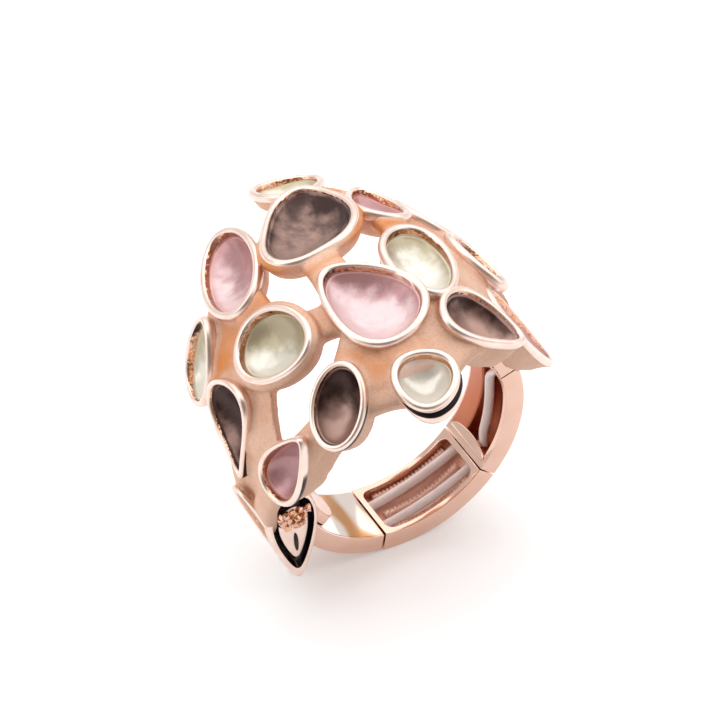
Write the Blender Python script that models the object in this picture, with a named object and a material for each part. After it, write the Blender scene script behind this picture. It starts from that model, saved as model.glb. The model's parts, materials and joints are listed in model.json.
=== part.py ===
"""Stretch cocktail ring: an openwork cast head of enamelled cups over a band of three links.

The links are strung on two elastic cords whose knotted ends sit in lugs under the head.
Metres, +Z up. The origin is the centre of the finger hole and Y runs along the finger.
The ring is modelled upright, with its head on top, under an empty that leans it over until
the tip of the head and the band both touch the table.
"""

import math
from typing import NamedTuple

import bmesh
import bpy
from mathutils import Vector

MM = 0.001

# Band
FINGER_RADIUS = 8.75 * MM
BAND_WALL = 1.55 * MM
BAND_WIDTH = 5.4 * MM
BAND_OUTER_EDGE = 0.2 * MM
BAND_INNER_EDGE = 0.15 * MM
JOINT_GAP = 0.1 * MM
LINK_ANGLE = 59.0
RIGHT_LUG_ANGLE = 81.0
ARC_STEP = 7.0
ROUND_INSET = 1 - math.sqrt(0.5)
SHARP_ANGLE = 40.0

# Troughs in the inner face of a link, with a rib between the cords
TROUGH_END_WALL = 0.75 * MM
TROUGH_SIDE_WALL = 0.65 * MM
TROUGH_FLOOR = 0.4 * MM
TROUGH_CORNER = 0.7 * MM
CORNER_ANGLES = (8, 30, 60, 90)
GROOVE_INSET = 0.23 * MM
RIB_WIDTH = 0.55 * MM
RIB_HEIGHT = 0.4 * MM

# Elastic cords and their knots, whose shape is in shares of a knot's length and diameter
CORD_DIAMETER = 0.74 * MM
CORD_SPACING = 2.3 * MM
CORD_FLOOR_GAP = 0.1 * MM
CORD_HOLE_CLEARANCE = 0.12 * MM
CORD_SIDES = 8
CORD_STEP = 9.0
KNOT_DIAMETER = 1.15 * MM
KNOT_LENGTH = 1.5 * MM
KNOT_SHAPE = ((0.12, 0.8), (0.4, 1.0), (0.65, 1.0), (0.9, 0.75), (1.0, 0.4))

# Lugs under the head
LUG_LENGTH = 3.7 * MM
LUG_WALL = 2.0 * MM
LUG_END_WALL = 0.9 * MM
KNOT_CLEARANCE = 0.12 * MM
TONGUE_LENGTH = 3.6 * MM
TONGUE_WIDTH = 4.2 * MM
TONGUE_THICKNESS = 0.35 * MM
TONGUE_CLEARANCE = 0.08 * MM

# Dome that the cup rims lie on
HEAD_STANDOFF = 2.4 * MM
HEAD_LIFT = 3.2 * MM
HEAD_SHIFT = 0.6 * MM
CROWN_RADIUS = 30.0 * MM
LEFT_SQUEEZE = 0.93

# Cups, pockets, enamel and webs
CUP_DEPTH = 2.2 * MM
RIGHT_TIP_DEPTH = 1.5 * MM
LEFT_TIP_DEPTH = 0.95 * MM
REAR_CUP_DEPTH = 1.6 * MM
RIM_WIDTH = 0.55 * MM
LIP_DEPTH = 0.3 * MM
POCKET_OVERCUT = 0.9 * MM
POCKET_FLARE = 0.1 * MM
ENAMEL_CLEARANCE = 0.05 * MM
WEB_DEPTH = 1.35 * MM
WEB_THICKNESS = 1.2 * MM
WEB_SHARE = 0.75
WEB_FLARE = 0.4
WEB_LEAST_SHARE = 0.6
WEB_WIDTH = 3.0 * MM
LUG_WEB_WIDTH = 2.2 * MM
OUTLINE_POINTS = 16
WEB_POINTS = 6
WEB_STATIONS = 4

# Shares of a cup's depth and of its outline, from the rim down
CUP_WAIST = (0.55, 0.84, 0.75)
CUP_BASE = (1.0, 0.5, 0.5)
CUP_ROOT = 0.75
POCKET_RINGS = ((0.22, 0.97), (0.56, 0.55))
DISH_RINGS = ((0.16, 0.97), (0.33, 0.72), (0.44, 0.38))

BAND_OUTER_RADIUS = FINGER_RADIUS + BAND_WALL
CORD_RADIUS = BAND_OUTER_RADIUS - TROUGH_FLOOR - CORD_FLOOR_GAP - CORD_DIAMETER / 2
DOME_RADIUS = BAND_OUTER_RADIUS + HEAD_STANDOFF
LEFT_LUG_ANGLE = RIGHT_LUG_ANGLE - 3 * LINK_ANGLE


class Cell(NamedTuple):
    """One enamelled cup: its place on the dome, its egg-shaped opening and how it is set."""

    name: str
    colour: str
    across: float  # degrees from the top of the dome towards +X
    along: float  # along the finger from the middle of the band
    length: float
    width: float
    turn: float  # degrees of the narrow end from the +X direction on the dome
    taper: float  # 0 is an ellipse, towards 1 the narrow end comes to a point
    depth: float = CUP_DEPTH
    lift: float = 0.0  # outwards from the dome
    lean: float = 0.0  # degrees that the opening turns towards +X
    nod: float = 0.0  # slope of the opening towards +Y, on top of the dome's own


CELLS = (
    Cell("crown", "brown", 19, 7.2 * MM, 9.2 * MM, 6.2 * MM, 227, 0.29),
    Cell("rear_left", "pink", -14, 8.7 * MM, 9.0 * MM, 4.6 * MM, 83, 0.16),
    Cell("left", "cream", -17, -0.5 * MM, 6.1 * MM, 4.9 * MM, 312, 0.05),
    Cell("centre", "pink", 19, -2.8 * MM, 7.9 * MM, 5.7 * MM, 107, 0.3),
    Cell("right", "cream", 44, -0.5 * MM, 7.4 * MM, 4.6 * MM, 256, 0.06),
    Cell("right_front", "brown", 53, -7.0 * MM, 5.9 * MM, 3.9 * MM, 330, 0.41),
    Cell("front", "cream", 19, -10.4 * MM, 3.8 * MM, 3.8 * MM, 116, 0.16),
    Cell("left_front", "brown", -14, -8.2 * MM, 5.6 * MM, 3.6 * MM, 219, 0.09),
    Cell("lower_left_front", "pink", -49, -6.7 * MM, 5.9 * MM, 3.1 * MM, 343, 0.41),
    Cell("lower_left", "brown", -55, 0.0 * MM, 6.6 * MM, 4.4 * MM, 212, 0.7),
    Cell("lower_left_rear", "cream", -50, 6.7 * MM, 6.4 * MM, 4.6 * MM, 359, 0.17),
    Cell("rear", "cream", 26, 13.8 * MM, 6.5 * MM, 4.2 * MM, 10, 0.1, REAR_CUP_DEPTH),
    Cell("right_rear", "pink", 52, 8.5 * MM, 6.0 * MM, 3.5 * MM, 74, 0.33),
    Cell("lower_right_rear", "brown", 74, 7.0 * MM, 5.0 * MM, 3.4 * MM, 300, 0.2),
    Cell("lower_right", "cream", 76, 1.2 * MM, 5.4 * MM, 3.6 * MM, 280, 0.1),
    Cell("right_tip", "pink", 98, -2.9 * MM, 11.0 * MM, 3.8 * MM, 8, 0.5,
         RIGHT_TIP_DEPTH, -0.85 * MM, -11, -0.05),
    Cell("left_tip", "cream", -101, -2.1 * MM, 10.0 * MM, 3.8 * MM, 177, 0.5,
         LEFT_TIP_DEPTH, 1.1 * MM, 18, -0.05),
    Cell("left_side", "pink", -86, 3.0 * MM, 5.2 * MM, 3.4 * MM, 90, 0.1,
         LEFT_TIP_DEPTH, -0.6 * MM),
)

# Webs between neighbouring cups
WEBS = (
    ("crown", "rear_left"), ("crown", "centre"), ("crown", "right_rear"), ("crown", "rear"),
    ("rear_left", "left"), ("rear_left", "lower_left_rear"), ("rear_left", "rear"),
    ("left", "centre"), ("left", "lower_left"), ("left", "lower_left_front"),
    ("left", "lower_left_rear"), ("centre", "right"), ("centre", "front"),
    ("centre", "left_front"), ("centre", "right_front"), ("right", "right_front"),
    ("right", "lower_right"), ("right", "right_rear"), ("right_front", "front"),
    ("right_front", "right_tip"), ("left_front", "lower_left_front"),
    ("left_front", "front"), ("lower_left_front", "lower_left"),
    ("lower_left_front", "left_tip"), ("lower_left", "lower_left_rear"),
    ("lower_left", "left_tip"), ("lower_left", "left_side"),
    ("lower_left_rear", "left_side"), ("rear", "right_rear"),
    ("right_rear", "lower_right_rear"), ("lower_right_rear", "lower_right"),
    ("lower_right", "right_tip"), ("left_side", "left_tip"),
)

# Cups that each lug is cast to
LUG_WEBS = {
    "right_lug": ("right_tip", "lower_right"),
    "left_lug": ("left_tip", "left_side"),
}

ROSE_GOLD = (0.86, 0.55, 0.43)
CORD_COLOUR = (0.74, 0.6, 0.56)
ENAMEL_COLOURS = {
    "brown": (0.16, 0.09, 0.085),
    "pink": (0.68, 0.36, 0.4),
    "cream": (0.84, 0.79, 0.6),
}


def clear_scene():
    for obj in list(bpy.data.objects):
        bpy.data.objects.remove(obj, do_unlink=True)


def principled(name, colour, roughness, metallic):
    material = bpy.data.materials.new(name)
    material.use_nodes = True
    shader = material.node_tree.nodes["Principled BSDF"]
    shader.inputs["Base Color"].default_value = (*colour, 1.0)
    shader.inputs["Roughness"].default_value = roughness
    shader.inputs["Metallic"].default_value = metallic
    return material


def loft(name, rings):
    """A closed solid through rings of points, capped at both ends."""
    bm = bmesh.new()
    loops = [[bm.verts.new(point) for point in ring] for ring in rings]
    count = len(loops[0])
    for lower, upper in zip(loops, loops[1:]):
        for i in range(count):
            j = (i + 1) % count
            bm.faces.new((lower[i], lower[j], upper[j], upper[i]))
    bm.faces.new(loops[0])
    bm.faces.new(loops[-1])
    bmesh.ops.recalc_face_normals(bm, faces=bm.faces)
    mesh = bpy.data.meshes.new(name)
    bm.to_mesh(mesh)
    bm.free()
    mesh.shade_smooth()
    mesh.set_sharp_from_angle(angle=math.radians(SHARP_ANGLE))
    return bpy.data.objects.new(name, mesh)


def place(obj, stand, material=None):
    bpy.context.scene.collection.objects.link(obj)
    obj.parent = stand
    if material:
        obj.data.materials.append(material)
    return obj


def helper(obj, stand, collection):
    """A cutter or an addition that a Boolean takes in, and that isn't a piece itself."""
    collection.objects.link(obj)
    obj.parent = stand
    obj.hide_render = True
    obj.display_type = "WIRE"
    return obj


def helper_collection(name):
    collection = bpy.data.collections.new(name)
    bpy.context.scene.collection.children.link(collection)
    return collection


def boolean(obj, operation, collection):
    modifier = obj.modifiers.new(collection.name, "BOOLEAN")
    modifier.operation = operation
    modifier.solver = "EXACT"
    modifier.operand_type = "COLLECTION"
    modifier.collection = collection


# Band geometry


def on_band(radius, y, degrees):
    """A point at an angle round the band, counted from the bottom towards +X."""
    angle = math.radians(degrees)
    return Vector((radius * math.sin(angle), y, -radius * math.cos(angle)))


def arc_degrees(length, radius=FINGER_RADIUS):
    return math.degrees(length / radius)


def stations(start, end, step=ARC_STEP):
    steps = max(2, math.ceil(abs(end - start) / step))
    return [start + (end - start) * i / steps for i in range(steps + 1)]


def arc_sweep(name, profile, angles):
    """A solid swept round the finger, its profile given as points of radius and y."""
    return loft(name, [[on_band(r, y, a) for r, y in profile] for a in angles])


def rounded_bar(inner, outer, width, inner_edge, outer_edge):
    """Profile of a band with its edges taken off."""
    half = width / 2
    side = [
        (inner, half - inner_edge),
        (inner + inner_edge, half),
        (outer - outer_edge, half),
        (outer - outer_edge * ROUND_INSET, half - outer_edge * ROUND_INSET),
        (outer, half - outer_edge),
    ]
    return [(r, -y) for r, y in side] + [(r, y) for r, y in reversed(side)]


def rounded_end_sweep(name, inner, outer, width, start, end, corners):
    """A strip round the finger whose ends have rounded corners, at the ends named in corners."""
    turn = arc_degrees(TROUGH_CORNER, outer)
    sweep = [math.radians(a) for a in CORNER_ANGLES]
    shares = [1 - math.cos(a) for a in sweep]
    insets = [TROUGH_CORNER * (1 - math.sin(a)) for a in sweep]
    rows = []
    if "start" in corners:
        rows += [(start + turn * s, inset) for s, inset in zip(shares, insets)]
    else:
        rows.append((start, 0.0))
    inner_start = rows[-1][0]
    inner_end = end - turn if "end" in corners else end
    rows += [(a, 0.0) for a in stations(inner_start, inner_end)[1:]]
    if "end" in corners:
        tail = list(zip(shares, insets))[:-1]
        rows += [(end - turn * s, inset) for s, inset in reversed(tail)]
    rings = []
    for angle, inset in rows:
        half = width / 2 - inset
        corners_of_ring = ((inner, -half), (outer, -half), (outer, half), (inner, half))
        rings.append([on_band(r, y, angle) for r, y in corners_of_ring])
    return loft(name, rings)


def circle_profile(radius, centre_radius, y, sides):
    turns = [2 * math.pi * i / sides for i in range(sides)]
    return [(centre_radius + radius * math.cos(t), y + radius * math.sin(t)) for t in turns]


def cord_places():
    return (("front", -CORD_SPACING / 2), ("rear", CORD_SPACING / 2))


def cord_bores(prefix, start, end, stand, collection):
    radius = CORD_DIAMETER / 2 + CORD_HOLE_CLEARANCE
    for side, y in cord_places():
        profile = circle_profile(radius, CORD_RADIUS, y, CORD_SIDES)
        bore = arc_sweep(f"{prefix}_bore_{side}", profile, stations(start, end))
        helper(bore, stand, collection)


def trough_cutters(prefix, start, end, stand, collection):
    """A shallow trough with two deeper grooves, which leave a rib between the cords."""
    wall = arc_degrees(TROUGH_END_WALL)
    floor = BAND_OUTER_RADIUS - TROUGH_FLOOR
    mouth = FINGER_RADIUS - TROUGH_CORNER
    width = BAND_WIDTH - 2 * TROUGH_SIDE_WALL
    shallow = rounded_end_sweep(f"{prefix}_trough", mouth, floor - RIB_HEIGHT, width,
                                start + wall, end - wall, ("start", "end"))
    helper(shallow, stand, collection)
    half = BAND_WIDTH / 2 - TROUGH_SIDE_WALL
    inset = arc_degrees(GROOVE_INSET)
    for side, sign in (("front", -1), ("rear", 1)):
        near = sign * RIB_WIDTH / 2
        far = sign * (half - GROOVE_INSET)
        top = floor - RIB_HEIGHT - GROOVE_INSET
        profile = ((top, near), (floor, near), (floor, far), (top, far))
        angles = stations(start + wall + inset, end - wall - inset)
        helper(arc_sweep(f"{prefix}_groove_{side}", profile, angles), stand, collection)


def make_link(name, start, end, has_trough, stand, material):
    gap = arc_degrees(JOINT_GAP) / 2
    profile = rounded_bar(FINGER_RADIUS, BAND_OUTER_RADIUS, BAND_WIDTH,
                          BAND_INNER_EDGE, BAND_OUTER_EDGE)
    link = arc_sweep(name, profile, stations(start + gap, end - gap))
    place(link, stand, material)
    cutters = helper_collection(f"{name}_cutters")
    cord_bores(name, start - ARC_STEP, end + ARC_STEP, stand, cutters)
    if has_trough:
        trough_cutters(name, start, end, stand, cutters)
    boolean(link, "DIFFERENCE", cutters)


def make_cord(name, y, stand, material):
    """A cord from lug to lug, swelling into a knot at each end."""
    seat = arc_degrees(LUG_END_WALL + KNOT_CLEARANCE, CORD_RADIUS)
    knot = arc_degrees(KNOT_LENGTH, CORD_RADIUS)
    knot_rows = [(0.0, CORD_DIAMETER)] + [(s, KNOT_DIAMETER * k) for s, k in KNOT_SHAPE]
    start = LEFT_LUG_ANGLE - seat
    end = RIGHT_LUG_ANGLE + seat
    rows = [(start - knot * s, diameter) for s, diameter in reversed(knot_rows)]
    rows += [(a, CORD_DIAMETER) for a in stations(start, end, CORD_STEP)[1:-1]]
    rows += [(end + knot * s, diameter) for s, diameter in knot_rows]
    rings = []
    for angle, diameter in rows:
        ring = circle_profile(diameter / 2, CORD_RADIUS, y, CORD_SIDES)
        rings.append([on_band(r, v, angle) for r, v in ring])
    place(loft(name, rings), stand, material)


# Head geometry


def dome_point(across, along):
    """A point of the dome and its outward normal."""
    angle = math.radians(across)
    radius = DOME_RADIUS - along * along / (2 * CROWN_RADIUS)
    squeeze = LEFT_SQUEEZE if across < 0 else 1.0
    point = Vector((HEAD_SHIFT + squeeze * radius * math.sin(angle), along,
                    HEAD_LIFT + radius * math.cos(angle)))
    normal = Vector((math.sin(angle) / squeeze, along / CROWN_RADIUS, math.cos(angle)))
    return point, normal.normalized()


def cell_axes(cell):
    """The centre of a cell's opening, its normal and the directions of its length and width."""
    point, normal = dome_point(cell.across, cell.along)
    facing = math.atan2(normal.x, normal.z) + math.radians(cell.lean)
    slope = cell.along / CROWN_RADIUS + cell.nod
    out = Vector((math.sin(facing), slope, math.cos(facing))).normalized()
    right = Vector((math.cos(facing), 0.0, -math.sin(facing)))
    back = out.cross(right)
    turn = math.radians(cell.turn)
    lengthwise = right * math.cos(turn) + back * math.sin(turn)
    return point + normal * cell.lift, out, lengthwise, out.cross(lengthwise)


def cell_ring(cell, depth, scale=1.0, grow=0.0):
    """The egg-shaped outline of a cell, at a depth below its rim, scaled and then grown."""
    centre, out, lengthwise, sideways = cell_axes(cell)
    half_length = cell.length / 2 * scale + grow
    half_width = cell.width / 2 * scale + grow
    ring = []
    for i in range(OUTLINE_POINTS):
        a = 2 * math.pi * i / OUTLINE_POINTS
        u = half_length * math.cos(a)
        v = half_width * math.sin(a) * (1 - cell.taper * math.cos(a))
        ring.append(centre - out * depth + lengthwise * u + sideways * v)
    return ring


def cup_rings(cell):
    rings = [cell_ring(cell, 0.0, 1.0, RIM_WIDTH), cell_ring(cell, LIP_DEPTH, 1.0, RIM_WIDTH)]
    for depth, scale, rim_share in (CUP_WAIST, CUP_BASE):
        rings.append(cell_ring(cell, depth * cell.depth, scale, RIM_WIDTH * rim_share))
    return rings


def pocket_rings(cell):
    above = cell_ring(cell, -POCKET_OVERCUT, 1.0, POCKET_FLARE)
    return [above] + [cell_ring(cell, d * cell.depth, s) for d, s in POCKET_RINGS]


def enamel_rings(cell):
    """The enamel fills the bottom of its pocket and dips towards the middle."""
    gap = ENAMEL_CLEARANCE
    under = [cell_ring(cell, d * cell.depth - gap, s, -gap) for d, s in reversed(POCKET_RINGS)]
    top = [cell_ring(cell, d * cell.depth - gap, s, -gap) for d, s in DISH_RINGS]
    return under + top


def web(name, start, end, middle, normal, width):
    """An arched bar that widens where it runs into the pieces that it joins."""
    bend = 2 * middle - (start + end) / 2
    rings = []
    for i in range(WEB_STATIONS):
        t = i / (WEB_STATIONS - 1)
        point = start * (1 - t) ** 2 + bend * 2 * t * (1 - t) + end * t * t
        along = ((bend - start) * (1 - t) + (end - bend) * t).normalized()
        side = along.cross(normal).normalized()
        up = side.cross(along)
        half = width / 2 * (1 + WEB_FLARE * (2 * t - 1) ** 2)
        ring = []
        for k in range(WEB_POINTS):
            a = 2 * math.pi * (k + 0.5) / WEB_POINTS
            ring.append(point + side * half * math.cos(a) + up * WEB_THICKNESS / 2 * math.sin(a))
        rings.append(ring)
    return loft(name, rings)


def cup_root(cell):
    centre, out, _, _ = cell_axes(cell)
    return centre - out * cell.depth * CUP_ROOT, out


def web_between(first, second):
    start, normal_a = cup_root(first)
    end, normal_b = cup_root(second)
    normal = (normal_a + normal_b).normalized()
    top = (cell_axes(first)[0] + cell_axes(second)[0]) / 2
    shallow = min(first.depth, second.depth) / CUP_DEPTH
    bulge = (start - end).length ** 2 / (8 * DOME_RADIUS)
    middle = top + normal * (bulge - WEB_DEPTH * max(shallow, WEB_LEAST_SHARE))
    width = min(WEB_WIDTH, WEB_SHARE * min(first.width, second.width))
    return web(f"web_{first.name}_{second.name}", start, end, middle, normal, width)


def lug_range(side):
    """The lug's angles, from its joint with the band up behind the head."""
    length = arc_degrees(LUG_LENGTH)
    gap = arc_degrees(JOINT_GAP) / 2
    if side == "right_lug":
        return RIGHT_LUG_ANGLE + gap, RIGHT_LUG_ANGLE + gap + length
    return LEFT_LUG_ANGLE - gap, LEFT_LUG_ANGLE - gap - length


def tongue_inner_radius():
    return FINGER_RADIUS - TONGUE_CLEARANCE - TONGUE_THICKNESS


def make_lug(side, cells, stand, additions, cutters):
    """A block with a pocket for the knots, cast to the cups behind it."""
    start, end = lug_range(side)
    outer = FINGER_RADIUS + LUG_WALL
    inner = FINGER_RADIUS if side == "right_lug" else tongue_inner_radius()
    profile = rounded_bar(inner, outer, BAND_WIDTH, BAND_INNER_EDGE, BAND_OUTER_EDGE)
    helper(arc_sweep(side, profile, stations(start, end)), stand, additions)
    step = math.copysign(1.0, end - start)
    wall = step * arc_degrees(LUG_END_WALL, CORD_RADIUS)
    room = step * arc_degrees(KNOT_LENGTH + 2 * KNOT_CLEARANCE, CORD_RADIUS)
    half = (CORD_SPACING + KNOT_DIAMETER) / 2 + KNOT_CLEARANCE
    floor = CORD_RADIUS + KNOT_DIAMETER / 2 + KNOT_CLEARANCE
    mouth = inner - TROUGH_CORNER
    pocket = ((mouth, -half), (floor, -half), (floor, half), (mouth, half))
    angles = stations(start + wall, start + wall + room)
    helper(arc_sweep(f"{side}_knot_pocket", pocket, angles), stand, cutters)
    cord_bores(side, start - wall, start + wall + room / 2, stand, cutters)
    root = on_band(outer - WEB_THICKNESS / 2, 0.0, end - step * arc_degrees(WEB_THICKNESS))
    for name in LUG_WEBS[side]:
        cell = cells[name]
        end_point, normal = cup_root(cell)
        bar = web(f"web_{side}_{name}", root, end_point, (root + end_point) / 2, normal, LUG_WEB_WIDTH)
        helper(bar, stand, additions)


def make_tongue(stand, additions):
    """The rounded tongue of the left lug, which covers its joint on the finger's side."""
    start, _ = lug_range("left_lug")
    inner = tongue_inner_radius()
    reach = arc_degrees(TONGUE_LENGTH)
    root = arc_degrees(LUG_END_WALL / 2)
    tongue = rounded_end_sweep("left_lug_tongue", inner, inner + TONGUE_THICKNESS, TONGUE_WIDTH,
                               start - root, start + reach, ("end",))
    helper(tongue, stand, additions)


def make_head(stand, material):
    """One casting: every cup, the webs between them and the two lugs, with the pockets cut out."""
    cells = {cell.name: cell for cell in CELLS}
    additions = helper_collection("head_additions")
    cutters = helper_collection("head_cutters")
    head = place(loft("head_casting", cup_rings(CELLS[0])), stand, material)
    for cell in CELLS[1:]:
        helper(loft(f"cup_{cell.name}", cup_rings(cell)), stand, additions)
    for first, second in WEBS:
        helper(web_between(cells[first], cells[second]), stand, additions)
    for side in LUG_WEBS:
        make_lug(side, cells, stand, additions, cutters)
    make_tongue(stand, additions)
    for cell in CELLS:
        helper(loft(f"pocket_{cell.name}", pocket_rings(cell)), stand, cutters)
    boolean(head, "UNION", additions)
    boolean(head, "DIFFERENCE", cutters)


def make_enamels(stand):
    materials = {
        colour: principled(f"{colour} enamel", value, 0.18, 0.0)
        for colour, value in ENAMEL_COLOURS.items()
    }
    for cell in CELLS:
        enamel = loft(f"enamel_{cell.colour}_{cell.name}", enamel_rings(cell))
        place(enamel, stand, materials[cell.colour])


def resting_lean():
    """The angle through which the upright ring rolls on its band until a cup meets the table."""
    leans = []
    for cell in CELLS:
        for point in (p for ring in cup_rings(cell) for p in ring):
            reach = math.hypot(point.x, point.z)
            if point.x < 0 and reach > BAND_OUTER_RADIUS:
                leans.append(math.atan2(-point.x, -point.z) - math.acos(BAND_OUTER_RADIUS / reach))
    return min(leans)


def main():
    clear_scene()
    stand = bpy.data.objects.new("ring_stand", None)
    bpy.context.scene.collection.objects.link(stand)
    stand.rotation_euler = (0.0, -resting_lean(), 0.0)
    gold = principled("rose gold plating", ROSE_GOLD, 0.2, 1.0)
    elastic = principled("clear elastic", CORD_COLOUR, 0.4, 0.0)
    make_head(stand, gold)
    make_enamels(stand)
    joints = [LEFT_LUG_ANGLE + LINK_ANGLE * i for i in range(4)]
    make_link("link_left", joints[0], joints[1], False, stand, gold)
    make_link("link_bottom", joints[1], joints[2], True, stand, gold)
    make_link("link_right", joints[2], joints[3], True, stand, gold)
    for side, y in cord_places():
        make_cord(f"elastic_cord_{side}", y, stand, elastic)


main()
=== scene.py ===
"""Looks of a stretch cocktail ring: a rose-gold head of enamelled cups on a band of links.

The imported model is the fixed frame. Every piece is built here in metres, upright as the ring is
worn, and then leaned over as it rests on the table.
"""

import json
import math
from typing import NamedTuple

import bmesh
import bpy
import numpy as np
from mathutils import Matrix, Vector, noise


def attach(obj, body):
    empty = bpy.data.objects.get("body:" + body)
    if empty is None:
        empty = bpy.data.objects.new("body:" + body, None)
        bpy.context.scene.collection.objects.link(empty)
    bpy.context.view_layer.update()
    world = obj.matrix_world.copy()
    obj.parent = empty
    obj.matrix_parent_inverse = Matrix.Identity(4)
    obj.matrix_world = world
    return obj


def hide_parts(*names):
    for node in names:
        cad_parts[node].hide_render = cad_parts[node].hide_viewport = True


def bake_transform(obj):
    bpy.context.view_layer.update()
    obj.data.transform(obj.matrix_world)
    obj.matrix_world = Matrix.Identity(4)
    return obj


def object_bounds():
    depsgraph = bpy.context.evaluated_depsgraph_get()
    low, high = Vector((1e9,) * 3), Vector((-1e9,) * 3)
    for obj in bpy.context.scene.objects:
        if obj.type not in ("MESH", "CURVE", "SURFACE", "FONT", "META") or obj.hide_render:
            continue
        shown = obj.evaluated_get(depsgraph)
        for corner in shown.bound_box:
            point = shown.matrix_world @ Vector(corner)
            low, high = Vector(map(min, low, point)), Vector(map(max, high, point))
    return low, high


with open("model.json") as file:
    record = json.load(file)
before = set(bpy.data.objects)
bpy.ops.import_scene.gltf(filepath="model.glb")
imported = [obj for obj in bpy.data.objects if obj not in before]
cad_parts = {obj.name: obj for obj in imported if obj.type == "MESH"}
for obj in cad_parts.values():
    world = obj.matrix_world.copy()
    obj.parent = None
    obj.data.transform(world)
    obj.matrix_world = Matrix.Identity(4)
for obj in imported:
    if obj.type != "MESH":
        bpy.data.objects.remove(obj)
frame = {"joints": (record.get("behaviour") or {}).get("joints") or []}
CAD_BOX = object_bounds()

bl_info = {
    "name": "Stretch Cocktail Ring",
    "version": (1, 0, 0),
    "blender": (4, 5, 0),
    "location": "View3D > Sidebar > Ring",
    "description": "Builds the looks of an enamelled stretch ring around its packed model",
    "category": "Object",
}

MM = 0.001

# The band's slide points straight down from the head, which gives the lean at rest
STRETCH_AXIS = Vector(frame["joints"][0]["axis"])
LEAN = math.atan2(STRETCH_AXIS.x, -STRETCH_AXIS.z)
TO_TABLE = Matrix.Rotation(-LEAN, 4, "Y")

# Dome that the cup rims lie on
DOME_RADIUS = 12.7 * MM
HEAD_LIFT = 3.2 * MM
HEAD_SHIFT = 0.6 * MM
CROWN_RADIUS = 30.0 * MM
LEFT_SQUEEZE = 0.93

CUP_DEPTH = 2.2 * MM
RIGHT_TIP_DEPTH = 1.5 * MM
LEFT_TIP_DEPTH = 0.95 * MM
REAR_CUP_DEPTH = 1.6 * MM


class Cell(NamedTuple):
    """One enamelled cup: its place on the dome, its egg-shaped opening and how it is set."""

    name: str
    colour: str
    across: float  # degrees from the top of the dome towards +X
    along: float  # along the finger from the middle of the band
    length: float
    width: float
    turn: float  # degrees of the narrow end from the +X direction on the dome
    taper: float  # 0 is an ellipse, towards 1 the narrow end comes to a point
    depth: float = CUP_DEPTH
    lift: float = 0.0  # outwards from the dome
    lean: float = 0.0  # degrees that the opening turns towards +X
    nod: float = 0.0  # slope of the opening towards +Y, on top of the dome's own


CELLS = (
    Cell("crown", "brown", 20.3, 7.6 * MM, 9.4 * MM, 6.2 * MM, 60, 0.07),
    Cell("rear_left", "pink", -14, 8.7 * MM, 9.0 * MM, 4.6 * MM, 83, 0.16),
    Cell("left", "cream", -17, -0.5 * MM, 6.1 * MM, 4.9 * MM, 312, 0.05),
    Cell("centre", "pink", 19, -2.8 * MM, 7.9 * MM, 5.7 * MM, 107, 0.3),
    Cell("right", "cream", 44, -0.5 * MM, 7.4 * MM, 4.6 * MM, 256, 0.06),
    Cell("right_front", "brown", 53, -7.0 * MM, 5.9 * MM, 3.9 * MM, 330, 0.41),
    Cell("front", "cream", 19, -10.4 * MM, 3.8 * MM, 3.8 * MM, 116, 0.16),
    Cell("left_front", "brown", -14, -8.2 * MM, 5.6 * MM, 3.6 * MM, 219, 0.09),
    Cell("lower_left_front", "pink", -49, -6.7 * MM, 5.9 * MM, 3.1 * MM, 343, 0.41),
    Cell("lower_left", "brown", -55, 0.0 * MM, 6.6 * MM, 4.4 * MM, 212, 0.7),
    Cell("lower_left_rear", "cream", -50, 6.7 * MM, 6.4 * MM, 4.6 * MM, 359, 0.17),
    Cell("rear", "cream", 32.3, 14.6 * MM, 4.7 * MM, 4.4 * MM, 8, 0.1, REAR_CUP_DEPTH),
    Cell("right_rear", "pink", 52, 8.5 * MM, 6.0 * MM, 3.5 * MM, 74, 0.33),
    Cell("lower_right_rear", "brown", 74, 7.0 * MM, 5.0 * MM, 3.4 * MM, 300, 0.2),
    Cell("lower_right", "cream", 76, 1.2 * MM, 5.4 * MM, 3.6 * MM, 280, 0.1),
    Cell("right_tip", "pink", 98, -2.9 * MM, 11.0 * MM, 3.8 * MM, 8, 0.5,
         RIGHT_TIP_DEPTH, -0.85 * MM, -11, -0.05),
    Cell("left_tip", "cream", -101, -1.1 * MM, 10.0 * MM, 2.7 * MM, 177, 0.5,
         LEFT_TIP_DEPTH, 1.1 * MM, 15, -0.05),
    Cell("left_side", "pink", -86, 3.3 * MM, 5.2 * MM, 3.4 * MM, 90, 0.1,
         LEFT_TIP_DEPTH, -0.6 * MM),
)
CELL_OF = {cell.name: cell for cell in CELLS}

# Openings with three blunt corners: how blunt, and where the first one is in degrees
CORNERS = {"crown": (0.09, 35.0)}

WEBS = (
    ("crown", "rear_left"), ("crown", "centre"), ("crown", "right_rear"), ("crown", "rear"),
    ("rear_left", "left"), ("rear_left", "lower_left_rear"),
    ("left", "centre"), ("left", "lower_left"),
    ("left", "lower_left_rear"), ("centre", "right"), ("centre", "front"),
    ("centre", "left_front"), ("centre", "right_front"), ("right", "right_front"),
    ("right", "lower_right"), ("right", "right_rear"), ("right_front", "front"),
    ("right_front", "right_tip"), ("left_front", "lower_left_front"),
    ("left_front", "front"), ("lower_left_front", "lower_left"),
    ("lower_left_front", "left_tip"), ("lower_left", "lower_left_rear"),
    ("lower_left", "left_tip"), ("lower_left", "left_side"),
    ("lower_left_rear", "left_side"), ("rear", "right_rear"),
    ("right_rear", "lower_right_rear"), ("lower_right_rear", "lower_right"),
    ("lower_right", "right_tip"), ("left_side", "left_tip"),
)

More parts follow.
